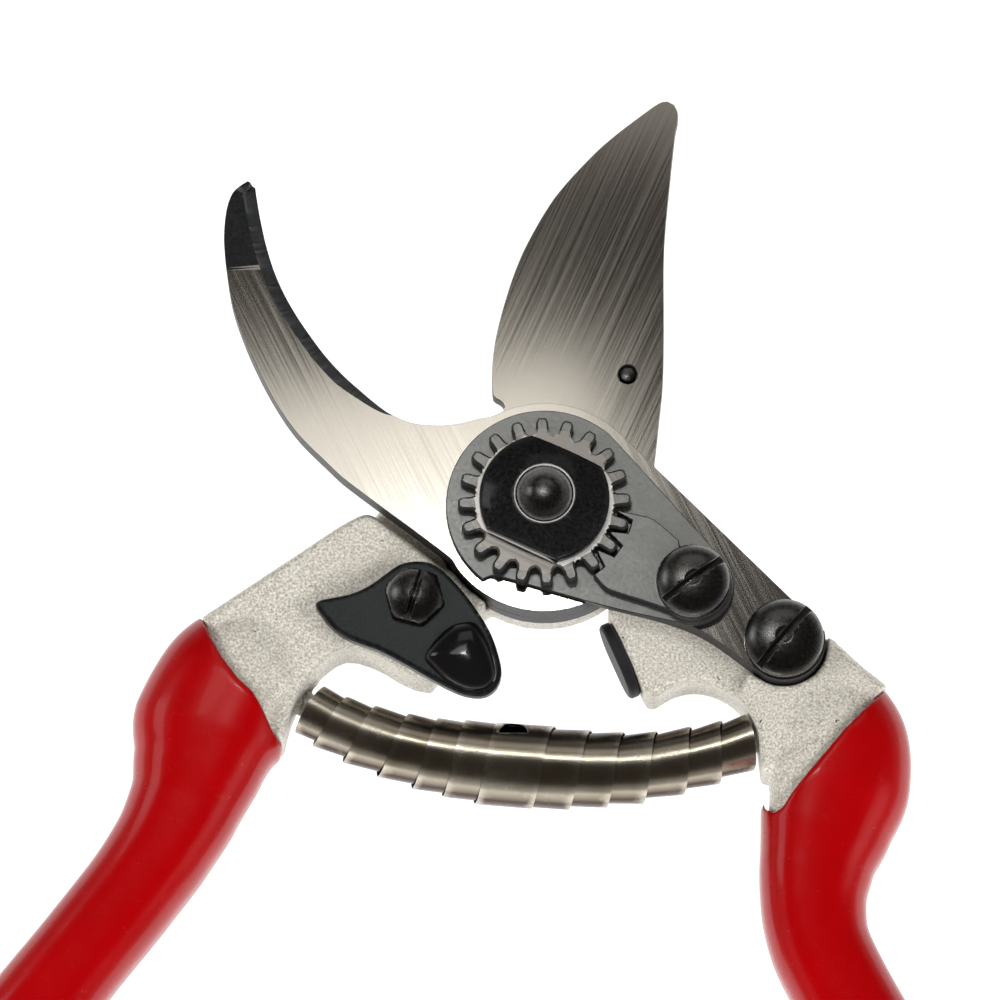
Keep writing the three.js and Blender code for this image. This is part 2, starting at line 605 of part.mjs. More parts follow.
piece('pivot_nut', pivotNut(), darkSteel, 0.3, 0.8);
piece('bumper', bumper(), 0x151515, 0.6, 0);
piece('left_handle', leftHandle(), aluminium, 0.55, 0.9);
piece('left_grip', grip(leftNeck, leftBare, gripSteps), 0xb00008, 0.25, 0);
piece('cutting_blade', cuttingBlade(), steel, 0.3, 1);
piece('blade_pin', locatingPin(), darkSteel, 0.4, 0.8);
piece('thumb_catch', thumbCatch(), 0x2b3034, 0.4, 0.6);
piece('catch_pad', catchPad(), 0x0b0b0c, 0.15, 0);
piece('catch_spring_washer', springWasher(), darkSteel, 0.4, 0.8);
piece('catch_screw', catchScrew(), darkSteel, 0.35, 0.8);
piece('volute_spring', voluteSpring(), 0xa79a7d, 0.25, 1);

export default shears;
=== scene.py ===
# %% [markdown]
# # Pruning shears, piece by piece
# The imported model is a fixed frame: it says where every piece is and how it moves. Each
# lesson below says what a piece is on the real shears and how its surface can be made,
# then makes it in the frame's place. Lengths in the text are millimetres.

# %% Load the frame
import math
import bmesh
import bpy
from mathutils import Matrix, Vector


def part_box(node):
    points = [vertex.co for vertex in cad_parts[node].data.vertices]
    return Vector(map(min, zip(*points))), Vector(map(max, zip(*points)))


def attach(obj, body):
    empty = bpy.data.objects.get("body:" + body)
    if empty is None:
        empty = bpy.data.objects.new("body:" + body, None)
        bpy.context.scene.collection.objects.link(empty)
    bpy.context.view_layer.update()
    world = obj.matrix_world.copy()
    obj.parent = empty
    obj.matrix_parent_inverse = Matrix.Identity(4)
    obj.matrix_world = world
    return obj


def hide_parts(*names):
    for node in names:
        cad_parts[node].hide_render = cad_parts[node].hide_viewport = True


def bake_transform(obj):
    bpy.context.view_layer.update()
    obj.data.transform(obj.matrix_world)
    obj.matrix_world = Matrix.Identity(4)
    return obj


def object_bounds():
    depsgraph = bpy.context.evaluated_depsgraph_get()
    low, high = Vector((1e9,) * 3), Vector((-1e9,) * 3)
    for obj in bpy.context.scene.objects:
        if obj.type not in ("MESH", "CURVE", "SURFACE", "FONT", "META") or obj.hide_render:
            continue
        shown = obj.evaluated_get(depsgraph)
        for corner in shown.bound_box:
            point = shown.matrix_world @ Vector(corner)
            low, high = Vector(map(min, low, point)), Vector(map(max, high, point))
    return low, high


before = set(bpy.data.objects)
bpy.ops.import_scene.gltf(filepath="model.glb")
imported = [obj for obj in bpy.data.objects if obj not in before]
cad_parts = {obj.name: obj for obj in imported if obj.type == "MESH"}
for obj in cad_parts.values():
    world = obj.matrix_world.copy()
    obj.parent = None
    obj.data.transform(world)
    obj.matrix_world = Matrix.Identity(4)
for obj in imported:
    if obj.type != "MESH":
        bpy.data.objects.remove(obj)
cad_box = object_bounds()
MM = 0.001

# %% [markdown]
# ## Small tools
# A bmesh is the editable mesh that every piece starts as. `as_object` turns one into an object at
# the origin, smooth except where two faces meet at a real edge, and `settle` applies its modifiers.
# `stand_in` names the finished piece, gives it its finish, parents it to the body that it rides on
# and hides the plain solid that it stands for.

# %% Helpers: frame copies, finished pieces
SHARP = math.radians(34)    # faces that meet at more than this keep a hard edge
WELD = 2e-6                 # metres between corners that are the same corner


def box_mm(node):
    """A node's lowest and highest corners in millimetres."""
    return [[c / MM for c in corner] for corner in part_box(node)]


def heights(node):
    """A node's lowest and highest point in millimetres."""
    return [corner[2] for corner in box_mm(node)]


def centre_of(node):
    low, high = box_mm(node)
    return (low[0] + high[0]) / 2, (low[1] + high[1]) / 2


def frame_copy(node):
    """An editable copy of a node's solid, its triangles joined at their corners."""
    bm = bmesh.new()
    bm.from_mesh(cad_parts[node].data)
    bmesh.ops.remove_doubles(bm, verts=bm.verts, dist=WELD)
    return bm


def face_outward(bm):
    bmesh.ops.recalc_face_normals(bm, faces=bm.faces[:])


def shade(bm, sharp):
    """Smooth faces, with hard edges where the surface turns by more than an angle."""
    for face in bm.faces:
        face.smooth = True
    for edge in bm.edges:
        edge.smooth = len(edge.link_faces) == 2 and edge.calc_face_angle(0) < sharp


def as_object(name, bm, sharp=SHARP):
    shade(bm, sharp)
    mesh = bpy.data.meshes.new(name)
    bm.to_mesh(mesh)
    bm.free()
    obj = bpy.data.objects.new(name, mesh)
    bpy.context.scene.collection.objects.link(obj)
    return obj


def settle(obj):
    """Applies an object's modifiers, so that what is seen is its mesh."""
    graph = bpy.context.evaluated_depsgraph_get()
    mesh = bpy.data.meshes.new_from_object(obj.evaluated_get(graph))
    obj.modifiers.clear()
    old, obj.data = obj.data, mesh
    bpy.data.meshes.remove(old)
    return obj


def stand_in(obj, body, material, node):
    """Names a finished piece, gives it its finish, parents it to the body it rides on and hides the
    plain solid it stands for.
    """
    obj.name = obj.name.replace(" ", "_") + "_shown"
    if material is not None:
        obj.data.materials.clear()
        obj.data.materials.append(material)
    if body is not None:
        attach(obj, body)
    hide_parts(node)
    print(obj.name, len(obj.data.polygons), "faces on", body or "two bodies")


# %% [markdown]
# ## Floor, light and camera
# A pale floor and soft lamps show polished steel best when the steel has something bright
# and something dark to mirror. The sky is bright near the horizon and dim overhead, and
# two broad lamps overhead leave a dark gap between them, which draws the soft dark band
# across the blades. A small lamp between them lights the spring, one high on the left
# lights the round screw heads, and three large ones at the sides only lift the matte
# surfaces, since polished faces don't mirror them. A long lens keeps the view nearly
# parallel, so that the shears look flat.

# %% Camera
LENS = 500
SENSOR_WIDTH = 36
PLANE_WIDTH = 174.6 * MM
LOOK_AT = Vector((-7.7, 3.3, 9.5)) * MM
ELEVATION = math.radians(75)
distance = PLANE_WIDTH * LENS / SENSOR_WIDTH
camera_data = bpy.data.cameras.new("camera")
camera_data.lens = LENS
camera_data.clip_start = 0.01
camera = bpy.data.objects.new("camera", camera_data)
towards = Vector((0, -math.cos(ELEVATION), math.sin(ELEVATION)))
camera.location = LOOK_AT + towards * distance
camera.rotation_euler = (math.pi / 2 - ELEVATION, 0, 0)
bpy.context.scene.collection.objects.link(camera)
bpy.context.scene.camera = camera
print("camera", round(distance, 3), "m from the pivot")

# %% Floor, lamps and sky
FLOOR_REACH = 1.6
FLOOR_GAP = 0.2 * MM
bm = bmesh.new()
bmesh.ops.create_grid(bm, x_segments=4, y_segments=4, size=FLOOR_REACH)
bmesh.ops.translate(bm, verts=bm.verts, vec=(0, 0, cad_box[0][2] - FLOOR_GAP))
floor = as_object("floor", bm)
floor_material = bpy.data.materials.new("pale floor")
floor_material.use_nodes = True
shader = floor_material.node_tree.nodes["Principled BSDF"]
shader.inputs["Base Color"].default_value = (0.3, 0.3, 0.3, 1)
shader.inputs["Emission Color"].default_value = (1, 1, 1, 1)
shader.inputs["Emission Strength"].default_value = 0.97
shader.inputs["Roughness"].default_value = 0.9
shader.inputs["Specular IOR Level"].default_value = 0.1
floor.data.materials.append(floor_material)


def lamp(name, place, size, power, aim=(0, 0, 0), colour=(1, 1, 1), turn=0, mirrored=True):
    """A rectangular lamp: place, size and aim in metres, power in watts, turn in degrees."""
    data = bpy.data.lights.new(name, "AREA")
    data.shape = "RECTANGLE"
    data.size, data.size_y = size
    data.energy = power
    data.color = colour
    obj = bpy.data.objects.new(name, data)
    obj.location = place
    direction = Vector(aim) - Vector(place)
    spin = Matrix.Rotation(math.radians(turn), 3, "Z").to_quaternion()
    obj.rotation_euler = (direction.to_track_quat("-Z", "Y") @ spin).to_euler()
    obj.visible_glossy = mirrored
    bpy.context.scene.collection.objects.link(obj)


OVERHEAD = 0.30
lamp("strip overhead", (-0.036, 0.074, OVERHEAD), (0.104, 0.052), 0.025, (-0.036, 0.074, 0),
     (1, 0.98, 0.92), 13)
lamp("far overhead", (0.03, 0.24, OVERHEAD), (0.22, 0.17), 0.046, (0.03, 0.24, 0),
     (1, 0.96, 0.92))
lamp("bright core", (-0.012, 0.052, OVERHEAD), (0.036, 0.010), 0.030, (-0.01, 0, 0))
lamp("left high", (-0.36, 0.12, OVERHEAD), (0.16, 0.16), 0.13)
lamp("left side", (-0.55, -0.14, 0.42), (0.3, 0.3), 4.4, mirrored=False)
lamp("right side", (0.55, -0.16, 0.42), (0.3, 0.3), 4.2, mirrored=False)
lamp("near side", (0.05, -0.60, 0.40), (0.3, 0.2), 3.0, mirrored=False)
sky = bpy.data.worlds.new("sky")
sky.use_nodes = True
bpy.context.scene.world = sky
nodes = sky.node_tree.nodes
links = sky.node_tree.links
place = nodes.new("ShaderNodeTexCoord")
split = nodes.new("ShaderNodeSeparateXYZ")
ramp = nodes.new("ShaderNodeValToRGB")
ramp.color_ramp.elements[0].position = 0.05
ramp.color_ramp.elements[0].color = (0.45, 0.44, 0.43, 1)
ramp.color_ramp.elements[1].position = 0.5
ramp.color_ramp.elements[1].color = (0.035, 0.03, 0.026, 1)
links.new(place.outputs["Generated"], split.inputs[0])
links.new(split.outputs["Z"], ramp.inputs[0])
links.new(ramp.outputs[0], nodes["Background"].inputs["Color"])
bpy.context.scene.view_settings.view_transform = "Standard"
print("lamps:", len(bpy.data.lights), "with sky and floor")

# %% [markdown]
# ## Finishes
# Real finishes are never one flat colour. Three node groups carry what several finishes share: a
# brushed grain of long fine scratches, a cast grain of fine speckle with dark pits, and an edge
# mask that is bright on outer corners and dark in inner ones. The outer mask gives worn edges on
# the coated metals and a painted highlight on the spring's rims, and the inner mask gives painted
# shade in inner corners. Each group puts out masks only, so every finish keeps its own shader and
# its own numbers.

# %% Helpers: node groups and materials


class Nodes:
    """Adds nodes to one tree and feeds their sockets, with short calls."""

    def __init__(self, tree):
        self.tree = tree

    def add(self, kind, **values):
        node = self.tree.nodes.new(kind)
        for key, value in values.items():
            setattr(node, key, value)
        return node

    def feed(self, value, socket):
        """Gives a socket another node's output, a number or a colour."""
        if isinstance(value, bpy.types.NodeSocket):
            self.tree.links.new(value, socket)
        elif isinstance(value, tuple):
            socket.default_value = (*value, 1)
        else:
            socket.default_value = value

    def noise(self, vector, scale, detail=3, roughness=0.6):
        node = self.add("ShaderNodeTexNoise")
        for name, value in (("Vector", vector), ("Scale", scale), ("Detail", detail),
                            ("Roughness", roughness)):
            self.feed(value, node.inputs[name])
        return node.outputs["Fac"]

    def ranged(self, value, low, high, to_low=0.0, to_high=1.0):
        node = self.add("ShaderNodeMapRange")
        for name, given in (("Value", value), ("From Min", low), ("From Max", high),
                            ("To Min", to_low), ("To Max", to_high)):
            self.feed(given, node.inputs[name])
        return node.outputs["Result"]

    def math(self, operation, a, b):
        node = self.add("ShaderNodeMath", operation=operation)
        for socket, value in zip(node.inputs, (a, b)):
            self.feed(value, socket)
        return node.outputs[0]

    def mix(self, mask, a, b):
        """Colour a where the mask is 0 and colour b where it is 1."""
        node = self.add("ShaderNodeMix", data_type="RGBA")
        colours = [s for s in node.inputs if s.type == "RGBA"]
        for socket, value in zip([node.inputs[0], *colours], (mask, a, b)):
            self.feed(value, socket)
        return next(s for s in node.outputs if s.type == "RGBA")


def new_group(name, inputs, outputs):
    """An empty node group with named number sockets, and its ends to wire to."""
    tree = bpy.data.node_groups.new(name, "ShaderNodeTree")
    tree.interface.new_socket("Vector", in_out="INPUT", socket_type="NodeSocketVector")
    for socket, value in inputs.items():
        made = tree.interface.new_socket(socket, in_out="INPUT", socket_type="NodeSocketFloat")
        made.default_value = value
    for socket in outputs:
        tree.interface.new_socket(socket, in_out="OUTPUT", socket_type="NodeSocketFloat")
    kit = Nodes(tree)
    return kit, kit.add("NodeGroupInput"), kit.add("NodeGroupOutput")


def use_group(kit, tree, vector, **values):
    """The outputs of a shared group, with its named numbers set."""
    node = kit.add("ShaderNodeGroup", node_tree=tree)
    kit.feed(vector, node.inputs["Vector"])
    for name, value in values.items():
        kit.feed(value, node.inputs[name])
    return node.outputs


def new_finish(name, metallic, turn=0.0, **sockets):
    """A material with its Principled shader and its coordinates, turned about Z."""
    material = bpy.data.materials.new(name)
    material.use_nodes = True
    kit = Nodes(material.node_tree)
    shader = material.node_tree.nodes["Principled BSDF"]
    shader.inputs["Metallic"].default_value = metallic
    for socket, value in sockets.items():
        shader.inputs[socket.replace("_", " ")].default_value = value
    coordinates = kit.add("ShaderNodeTexCoord")
    mapping = kit.add("ShaderNodeMapping")
    mapping.inputs["Rotation"].default_value = (0, 0, math.radians(turn))
    kit.feed(coordinates.outputs["Object"], mapping.inputs["Vector"])
    return material, kit, shader, mapping.outputs["Vector"]


def bump(kit, shader, height, strength, distance):
    """Fine relief from a mask. The distance, in metres, is how deep it looks."""
    node = kit.add("ShaderNodeBump")
    node.inputs["Strength"].default_value = strength
    node.inputs["Distance"].default_value = distance
    kit.feed(height, node.inputs["Height"])
    kit.feed(node.outputs["Normal"], shader.inputs["Normal"])


# %% Groups: brushed grain, cast grain, edge wear and painted shade
kit, ends, out = new_group("brushed grain", {"Scale": 1400, "Stretch": 0.03},
                           ["Scratches", "Cloud"])
stretch = kit.add("ShaderNodeCombineXYZ")
kit.feed(ends.outputs["Stretch"], stretch.inputs["X"])
stretch.inputs["Y"].default_value = 1
stretch.inputs["Z"].default_value = 1
squeezed = kit.add("ShaderNodeVectorMath", operation="MULTIPLY")
kit.feed(ends.outputs["Vector"], squeezed.inputs[0])
kit.feed(stretch.outputs[0], squeezed.inputs[1])
scratches = kit.noise(squeezed.outputs[0], ends.outputs["Scale"], 5, 0.75)
kit.feed(scratches, out.inputs["Scratches"])
kit.feed(kit.noise(ends.outputs["Vector"], 60, 2), out.inputs["Cloud"])
brushed_grain = kit.tree

kit, ends, out = new_group("cast grain", {"Scale": 1500}, ["Speckle", "Pits", "Cloud"])
speckle = kit.noise(ends.outputs["Vector"], ends.outputs["Scale"], 4, 0.7)
kit.feed(speckle, out.inputs["Speckle"])
pit = kit.noise(ends.outputs["Vector"], 700, 2, 0.8)
kit.feed(kit.ranged(pit, 0.30, 0.24), out.inputs["Pits"])
kit.feed(kit.noise(ends.outputs["Vector"], 90, 3), out.inputs["Cloud"])
cast_grain = kit.tree

kit, ends, out = new_group("edge wear and shade", {"Width": 0.05}, ["Outer", "Inner"])
geometry = kit.add("ShaderNodeNewGeometry")
wear_and_shade_wobble = kit.noise(ends.outputs["Vector"], 500, 3)
soft = kit.math("MULTIPLY", kit.math("SUBTRACT", wear_and_shade_wobble, 0.5), ends.outputs["Width"])
point = kit.math("ADD", geometry.outputs["Pointiness"], soft)
# Outer marks worn edges on coated metals and painted highlights on the spring's rims; Inner marks
# painted shade in inner corners.
kit.feed(kit.ranged(point, 0.52, 0.60), out.inputs["Outer"])
kit.feed(kit.ranged(point, 0.49, 0.42), out.inputs["Inner"])
edge_wear_and_shade = kit.tree
print("groups:", brushed_grain.name, cast_grain.name, edge_wear_and_shade.name)


# %% [markdown]
# ## Steel finishes
# The blades are ground on a belt, which leaves long straight scratches that spread every
# highlight along one way. A noise squeezed in one direction stands for them, light and dark,
# and it sways the roughness a little too. The other steels are blackened or phosphated:
# the grain of the coat shows as speckle, and rubbing has worn the outer corners brighter.

# %% Metals
def brushed_steel(name, colour, turn, rough, scale=2600, metallic=1.0):
    """Ground steel whose scratches lie at an angle in degrees."""
    material, kit, shader, place = new_finish(name, metallic, turn)
    grain = use_group(kit, brushed_grain, place, Scale=scale, Stretch=0.006)
    light = tuple(min(1, c * 1.14) for c in colour)
    dark = tuple(c * 0.82 for c in colour)
    tone = kit.mix(kit.ranged(grain["Scratches"], 0.33, 0.67), dark, light)
    clouded = kit.mix(kit.ranged(grain["Cloud"], 0.35, 0.7, 0.0, 0.25), tone, dark)
    kit.feed(clouded, shader.inputs["Base Color"])
    kit.feed(kit.ranged(grain["Scratches"], 0.3, 0.7, rough - 0.04, rough + 0.08),
             shader.inputs["Roughness"])
    bump(kit, shader, grain["Scratches"], 0.03, 0.00003)
    return material


def dark_metal(name, colour, rough, grain_depth=0.00004, metallic=0.6, worn=(0.22, 0.21, 0.2),
               wear=0.4, scale=1800, speckle=0.5):
    """A coated metal with a speckled grain. Its outer corners turn to the worn colour."""
    material, kit, shader, place = new_finish(name, metallic)
    grain = use_group(kit, cast_grain, place, Scale=scale)
    edges = use_group(kit, edge_wear_and_shade, place, Width=0.06)
    light = tuple(c * (1 + speckle) + 0.004 for c in colour)
    dark = tuple(c * (1 - speckle) for c in colour)
    tone = kit.mix(kit.ranged(grain["Speckle"], 0.35, 0.68), dark, light)
    bright = kit.mix(kit.math("MULTIPLY", edges["Outer"], wear), tone, worn)
    kit.feed(bright, shader.inputs["Base Color"])
    kit.feed(kit.ranged(grain["Speckle"], 0.3, 0.7, rough - 0.06, rough + 0.1),
             shader.inputs["Roughness"])
    bump(kit, shader, grain["Speckle"], 0.3, grain_depth)
    return material


blade_steel = brushed_steel("brushed blade steel", (0.60, 0.57, 0.52), -66, 0.13)
hook_steel = brushed_steel("brushed hook steel", (0.62, 0.59, 0.54), 64, 0.13)
ledge_steel = brushed_steel("bare ledge steel", (0.42, 0.40, 0.37), 25, 0.34, 900)
bare_ring = brushed_steel("bare turned ring", (0.62, 0.60, 0.56), 25, 0.3, 900, metallic=0.35)
turned_black = dark_metal("turned black oxide", (0.17, 0.17, 0.165), 0.26, metallic=1,
                          grain_depth=0.00002, worn=(0.5, 0.5, 0.48), wear=0.12, speckle=0.2)
nut_black = dark_metal("glossy nut black", (0.012, 0.012, 0.013), 0.13, metallic=0.5,
                       grain_depth=0.00001, wear=0.1)
phosphate = dark_metal("grey phosphate", (0.27, 0.28, 0.27), 0.34, metallic=0.92,
                       grain_depth=0.00005, worn=(0.6, 0.59, 0.56), wear=0.3, scale=1700,
                       speckle=0.25)
tooth_steel = dark_metal("blackened tooth", (0.14, 0.14, 0.135), 0.30, metallic=0.9,
                         worn=(0.55, 0.53, 0.5), wear=0.5, scale=1500)
# Painted shade: side walls of blades, plates and nut teeth are painted near black, for the shade on
# them and in the gaps beside them.
painted_shade_wall = dark_metal("wall in painted shade", (0.010, 0.010, 0.011), 0.45, metallic=0.2,
                        worn=(0.1, 0.1, 0.1), wear=0.2)
dark_coat = dark_metal("dark blade coat", (0.013, 0.014, 0.015), 0.36, metallic=0.4,
                       grain_depth=0.00003, worn=(0.2, 0.2, 0.19), wear=0.5)
catch_coat = dark_metal("blue-black catch coat", (0.030, 0.033, 0.033), 0.32, metallic=0.85,
                        grain_depth=0.00006, worn=(0.3, 0.31, 0.31), wear=0.6, scale=1100,
                        speckle=0.45)
print("metals:", len(bpy.data.materials) - 1)

# %% [markdown]
# ## Cast aluminium
# Castings come out of the tumbler pale, matte and finely dimpled, with a few pits. A fine speckle
# mixes a light and a dark tone, a slow cloud stains it, and the edge mask darkens inner corners
# with painted shade.

# %% Cast aluminium
cast_aluminium, kit, shader, place = new_finish("tumbled cast aluminium", 0.3)
grain = use_group(kit, cast_grain, place, Scale=2400)
edges = use_group(kit, edge_wear_and_shade, place, Width=0.05)
tone = kit.mix(kit.ranged(grain["Speckle"], 0.36, 0.64),
               (0.30, 0.27, 0.22), (0.86, 0.83, 0.75))
tone = kit.mix(kit.ranged(grain["Cloud"], 0.3, 0.75, 0.0, 0.30), tone, (0.52, 0.47, 0.40))
# Painted shade: inner corners are darkened where shade falls in them.
tone = kit.mix(kit.math("MULTIPLY", edges["Inner"], 0.5), tone, (0.16, 0.13, 0.11))
tone = kit.mix(grain["Pits"], tone, (0.03, 0.025, 0.02))
kit.feed(tone, shader.inputs["Base Color"])
kit.feed(kit.ranged(grain["Speckle"], 0.3, 0.7, 0.36, 0.55), shader.inputs["Roughness"])
bump(kit, shader, grain["Speckle"], 0.35, 0.0001)
print("finish:", cast_aluminium.name)

# %% [markdown]
# ## Nickel
# The spring strip is plated bright nickel with a faint straw tint. Where it is seen at a slant,
# `Layer Weight` paints it dark brown, a painted dark reflection. The edge mask paints shade where
# one turn dips under the next, and a painted highlight along each turn's outer rim.

# %% Nickel strip
nickel, kit, shader, place = new_finish("nickel strip", 1.0)
grain = use_group(kit, cast_grain, place, Scale=900)
tone = kit.mix(kit.ranged(grain["Cloud"], 0.35, 0.65), (0.54, 0.48, 0.37), (0.66, 0.61, 0.50))
# Painted dark reflection: faces seen at a slant are tinted dark brown.
slant_shade = kit.add("ShaderNodeLayerWeight")
slant_shade.inputs["Blend"].default_value = 0.5
tone = kit.mix(kit.ranged(slant_shade.outputs["Facing"], 0.12, 0.50), tone, (0.06, 0.038, 0.028))
edges = use_group(kit, edge_wear_and_shade, place, Width=0.12)
# Painted shade where one turn dips under the next.
tone = kit.mix(kit.math("MULTIPLY", edges["Inner"], 0.9), tone, (0.05, 0.035, 0.028))
# Painted highlight along each turn's outer rim.
tone = kit.mix(kit.math("MULTIPLY", edges["Outer"], 0.5), tone, (0.9, 0.84, 0.72))
kit.feed(tone, shader.inputs["Base Color"])
kit.feed(kit.ranged(grain["Cloud"], 0.3, 0.7, 0.2, 0.3), shader.inputs["Roughness"])
print("finish:", nickel.name)


# %% [markdown]
# ## Plastics and rubber
# The grips are dipped in soft glossy plastic, the catch pad is a hard moulding, and the
# bumper is matte rubber. One function makes all three: a slightly clouded colour, a little
# waviness, and a clear coat that is strong on the pad, weak on the grips and absent on
# the rubber.

# %% Plastics and rubber
def moulded(name, colour, rough, coat, speckle=0.08, depth=0.00004, scale=700, specular=0.5):
    """A moulded or dipped plastic whose colour clouds by a share called speckle."""
    material, kit, shader, place = new_finish(name, 0.0, Coat_Weight=coat, Coat_Roughness=0.06,
                                              Specular_IOR_Level=specular)
    grain = use_group(kit, cast_grain, place, Scale=scale)
    light = tuple(min(1, c * (1 + speckle)) for c in colour)
    dark = tuple(c * (1 - speckle) for c in colour)
    kit.feed(kit.mix(grain["Cloud"], dark, light), shader.inputs["Base Color"])
    kit.feed(kit.ranged(grain["Speckle"], 0.3, 0.7, rough - 0.03, rough + 0.05),
             shader.inputs["Roughness"])
    bump(kit, shader, grain["Speckle"], 0.12, depth)
    return material


red_coat = moulded("red dipped plastic", (0.27, 0.0, 0.001), 0.24, 0.2, speckle=0.12,
                   depth=0.00002, scale=300, specular=0.35)
pad_gloss = moulded("glossy black pad", (0.004, 0.004, 0.0045), 0.14, 0.6)
black_rubber = moulded("black rubber", (0.012, 0.012, 0.013), 0.5, 0.0, speckle=0.3,
                       depth=0.00008, scale=1400)
print("finishes:", len(bpy.data.materials))

# %% [markdown]
# ## Outlines from the frame
# Every flat piece has the outline that the frame gives it, but the frame draws round
# edges with a few straight sides. Slicing the solid with `bisect_plane` gives the outline
# at any level. Corners stay corners, and the gentle bends between them are run through
# again with short steps, so that the edge of a blade is smooth.

# %% Helpers: slice a solid, smooth an outline
CORNER = math.radians(24)       # a bend sharper than this stays a corner
STRAIGHT = math.radians(0.4)    # a bend gentler than this is dropped
SHORTEST = 0.03 * MM            # points nearer than this are one point
STEP = 0.45 * MM


def perimeter(loop):
    return sum((p - q).length for p, q in zip(loop, loop[1:] + loop[:1]))


def slice_loops(node, level):
    """The closed outlines of a node at a height in millimetres, longest first."""
    bm = frame_copy(node)
    geometry = bm.verts[:] + bm.edges[:] + bm.faces[:]
    cut = bmesh.ops.bisect_plane(bm, geom=geometry, plane_co=(0, 0, level * MM),
                                 plane_no=(0, 0, 1), dist=1e-7)
    edges = [e for e in cut["geom_cut"] if isinstance(e, bmesh.types.BMEdge)]
    links = {}
    for edge in edges:
        a, b = edge.verts
        links.setdefault(a, []).append(b)
        links.setdefault(b, []).append(a)
    loops = []
    while links:
        start = next(iter(links))
        loop = [start]
        previous, here = None, start
        while True:
            following = [v for v in links.pop(here, []) if v is not previous]
            following = [v for v in following if v in links or v is start]
            if not following or following[0] is start:
                break
            previous, here = here, following[0]
            loop.append(here)
        loops.append([v.co.xy.copy() for v in loop])
    bm.free()
    return sorted((loop for loop in loops if len(loop) > 2), key=perimeter, reverse=True)


def turn_at(a, b, c):
    """How far a path through three points turns at the middle one."""
    u, v = b - a, c - b
    return abs(u.angle_signed(v)) if u.length > 0 and v.length > 0 else 0.0


def area_of(loop):
    return sum(p.cross(q) for p, q in zip(loop, loop[1:] + loop[:1])) / 2


def hermite(t):
    """Weights of a start, the way out of it, an end and the way into it, at t from 0 to 1."""
    return 2 * t**3 - 3 * t**2 + 1, t**3 - 2 * t**2 + t, 3 * t**2 - 2 * t**3, t**3 - t**2


def smooth_outline(loop, step=STEP, corner=CORNER):
    """The same outline with its bends in short steps and its corners kept."""
    if area_of(loop) < 0:
        loop = loop[::-1]
    kept = []
    for p in loop:
        if not kept or (p - kept[-1]).length > SHORTEST:
            kept.append(p)
    bends = [turn_at(kept[i - 1], kept[i], kept[(i + 1) % len(kept)]) for i in range(len(kept))]
    loop = [p for p, bend in zip(kept, bends) if bend > STRAIGHT]
    count = len(loop)
    sharp = [turn_at(loop[i - 1], loop[i], loop[(i + 1) % count]) > corner
             for i in range(count)]
    result = []
    for i in range(count):
        a, b = loop[i], loop[(i + 1) % count]
        before = a if sharp[i] else loop[i - 1]
        after = b if sharp[(i + 1) % count] else loop[(i + 2) % count]
        span = (b - a).length
        into = (b - before).normalized() * span if before is not a else b - a
        away = (after - a).normalized() * span if after is not b else b - a
        steps = max(1, round(span / step))
        for k in range(steps):
            h = hermite(k / steps)
            result.append(a * h[0] + into * h[1] + b * h[2] + away * h[3])
    return result


# %% Helpers: a plate with broken edges, a turned piece, a block, cuts
def flat_plate(loops, low, high, rim):
    """A plate between two heights in millimetres. Its top and bottom edges are chamfered."""
    bm = bmesh.new()
    edges = []
    for loop in loops:
        corners = [bm.verts.new((p.x, p.y, low * MM)) for p in loop]
        edges += [bm.edges.new((a, b)) for a, b in zip(corners, corners[1:] + corners[:1])]
    bmesh.ops.triangle_fill(bm, edges=edges, use_beauty=True)
    made = bmesh.ops.extrude_face_region(bm, geom=bm.faces[:], use_keep_orig=True)
    lifted = [v for v in made["geom"] if isinstance(v, bmesh.types.BMVert)]
    bmesh.ops.translate(bm, verts=lifted, vec=(0, 0, (high - low) * MM))
    face_outward(bm)
    middle = (low + high) / 2 * MM
    for side in (1, -1):
        cap = [f for f in bm.faces if f.normal.z * side > 0.9
               and all((v.co.z - middle) * side > 0 for v in f.verts)]
        edge = bmesh.ops.inset_region(bm, faces=cap, thickness=rim * MM, use_even_offset=True)
        outer = {v for f in edge["faces"] for v in f.verts} - {v for f in cap for v in f.verts}
        bmesh.ops.translate(bm, verts=list(outer), vec=(0, 0, -side * rim * MM))
    return bm


def turned_piece(profile, at, steps=96):
    """A piece turned about Z from [radius, height] corners in millimetres."""
    bm = bmesh.new()
    corners = [bm.verts.new((r * MM, 0, z * MM)) for r, z in profile]
    edges = [bm.edges.new(pair) for pair in zip(corners, corners[1:])]
    bmesh.ops.spin(bm, geom=corners + edges, cent=(0, 0, 0), axis=(0, 0, 1),
                   angle=2 * math.pi, steps=steps, use_merge=True)
    bmesh.ops.remove_doubles(bm, verts=bm.verts, dist=1e-6)
    face_outward(bm)
    bmesh.ops.translate(bm, verts=bm.verts, vec=(at[0] * MM, at[1] * MM, 0))
    return bm


def turn_about_z(bm, degrees):
    turned = Matrix.Rotation(math.radians(degrees), 3, "Z")
    bmesh.ops.rotate(bm, verts=bm.verts, matrix=turned)


def block(size, middle, turn):
    """A box in millimetres, moved to its middle and then turned about Z by degrees."""
    bm = bmesh.new()
    bmesh.ops.create_cube(bm, size=1)
    bmesh.ops.scale(bm, verts=bm.verts, vec=[c * MM for c in size])
    bmesh.ops.translate(bm, verts=bm.verts, vec=[c * MM for c in middle])
    turn_about_z(bm, turn)
    return bm


def peg(radius, depth, sides):
    """A round or sided rod on the Z axis, in millimetres."""
    bm = bmesh.new()
    bmesh.ops.create_cone(bm, cap_ends=True, segments=sides, radius1=radius * MM,
                          radius2=radius * MM, depth=depth * MM)
    return bm


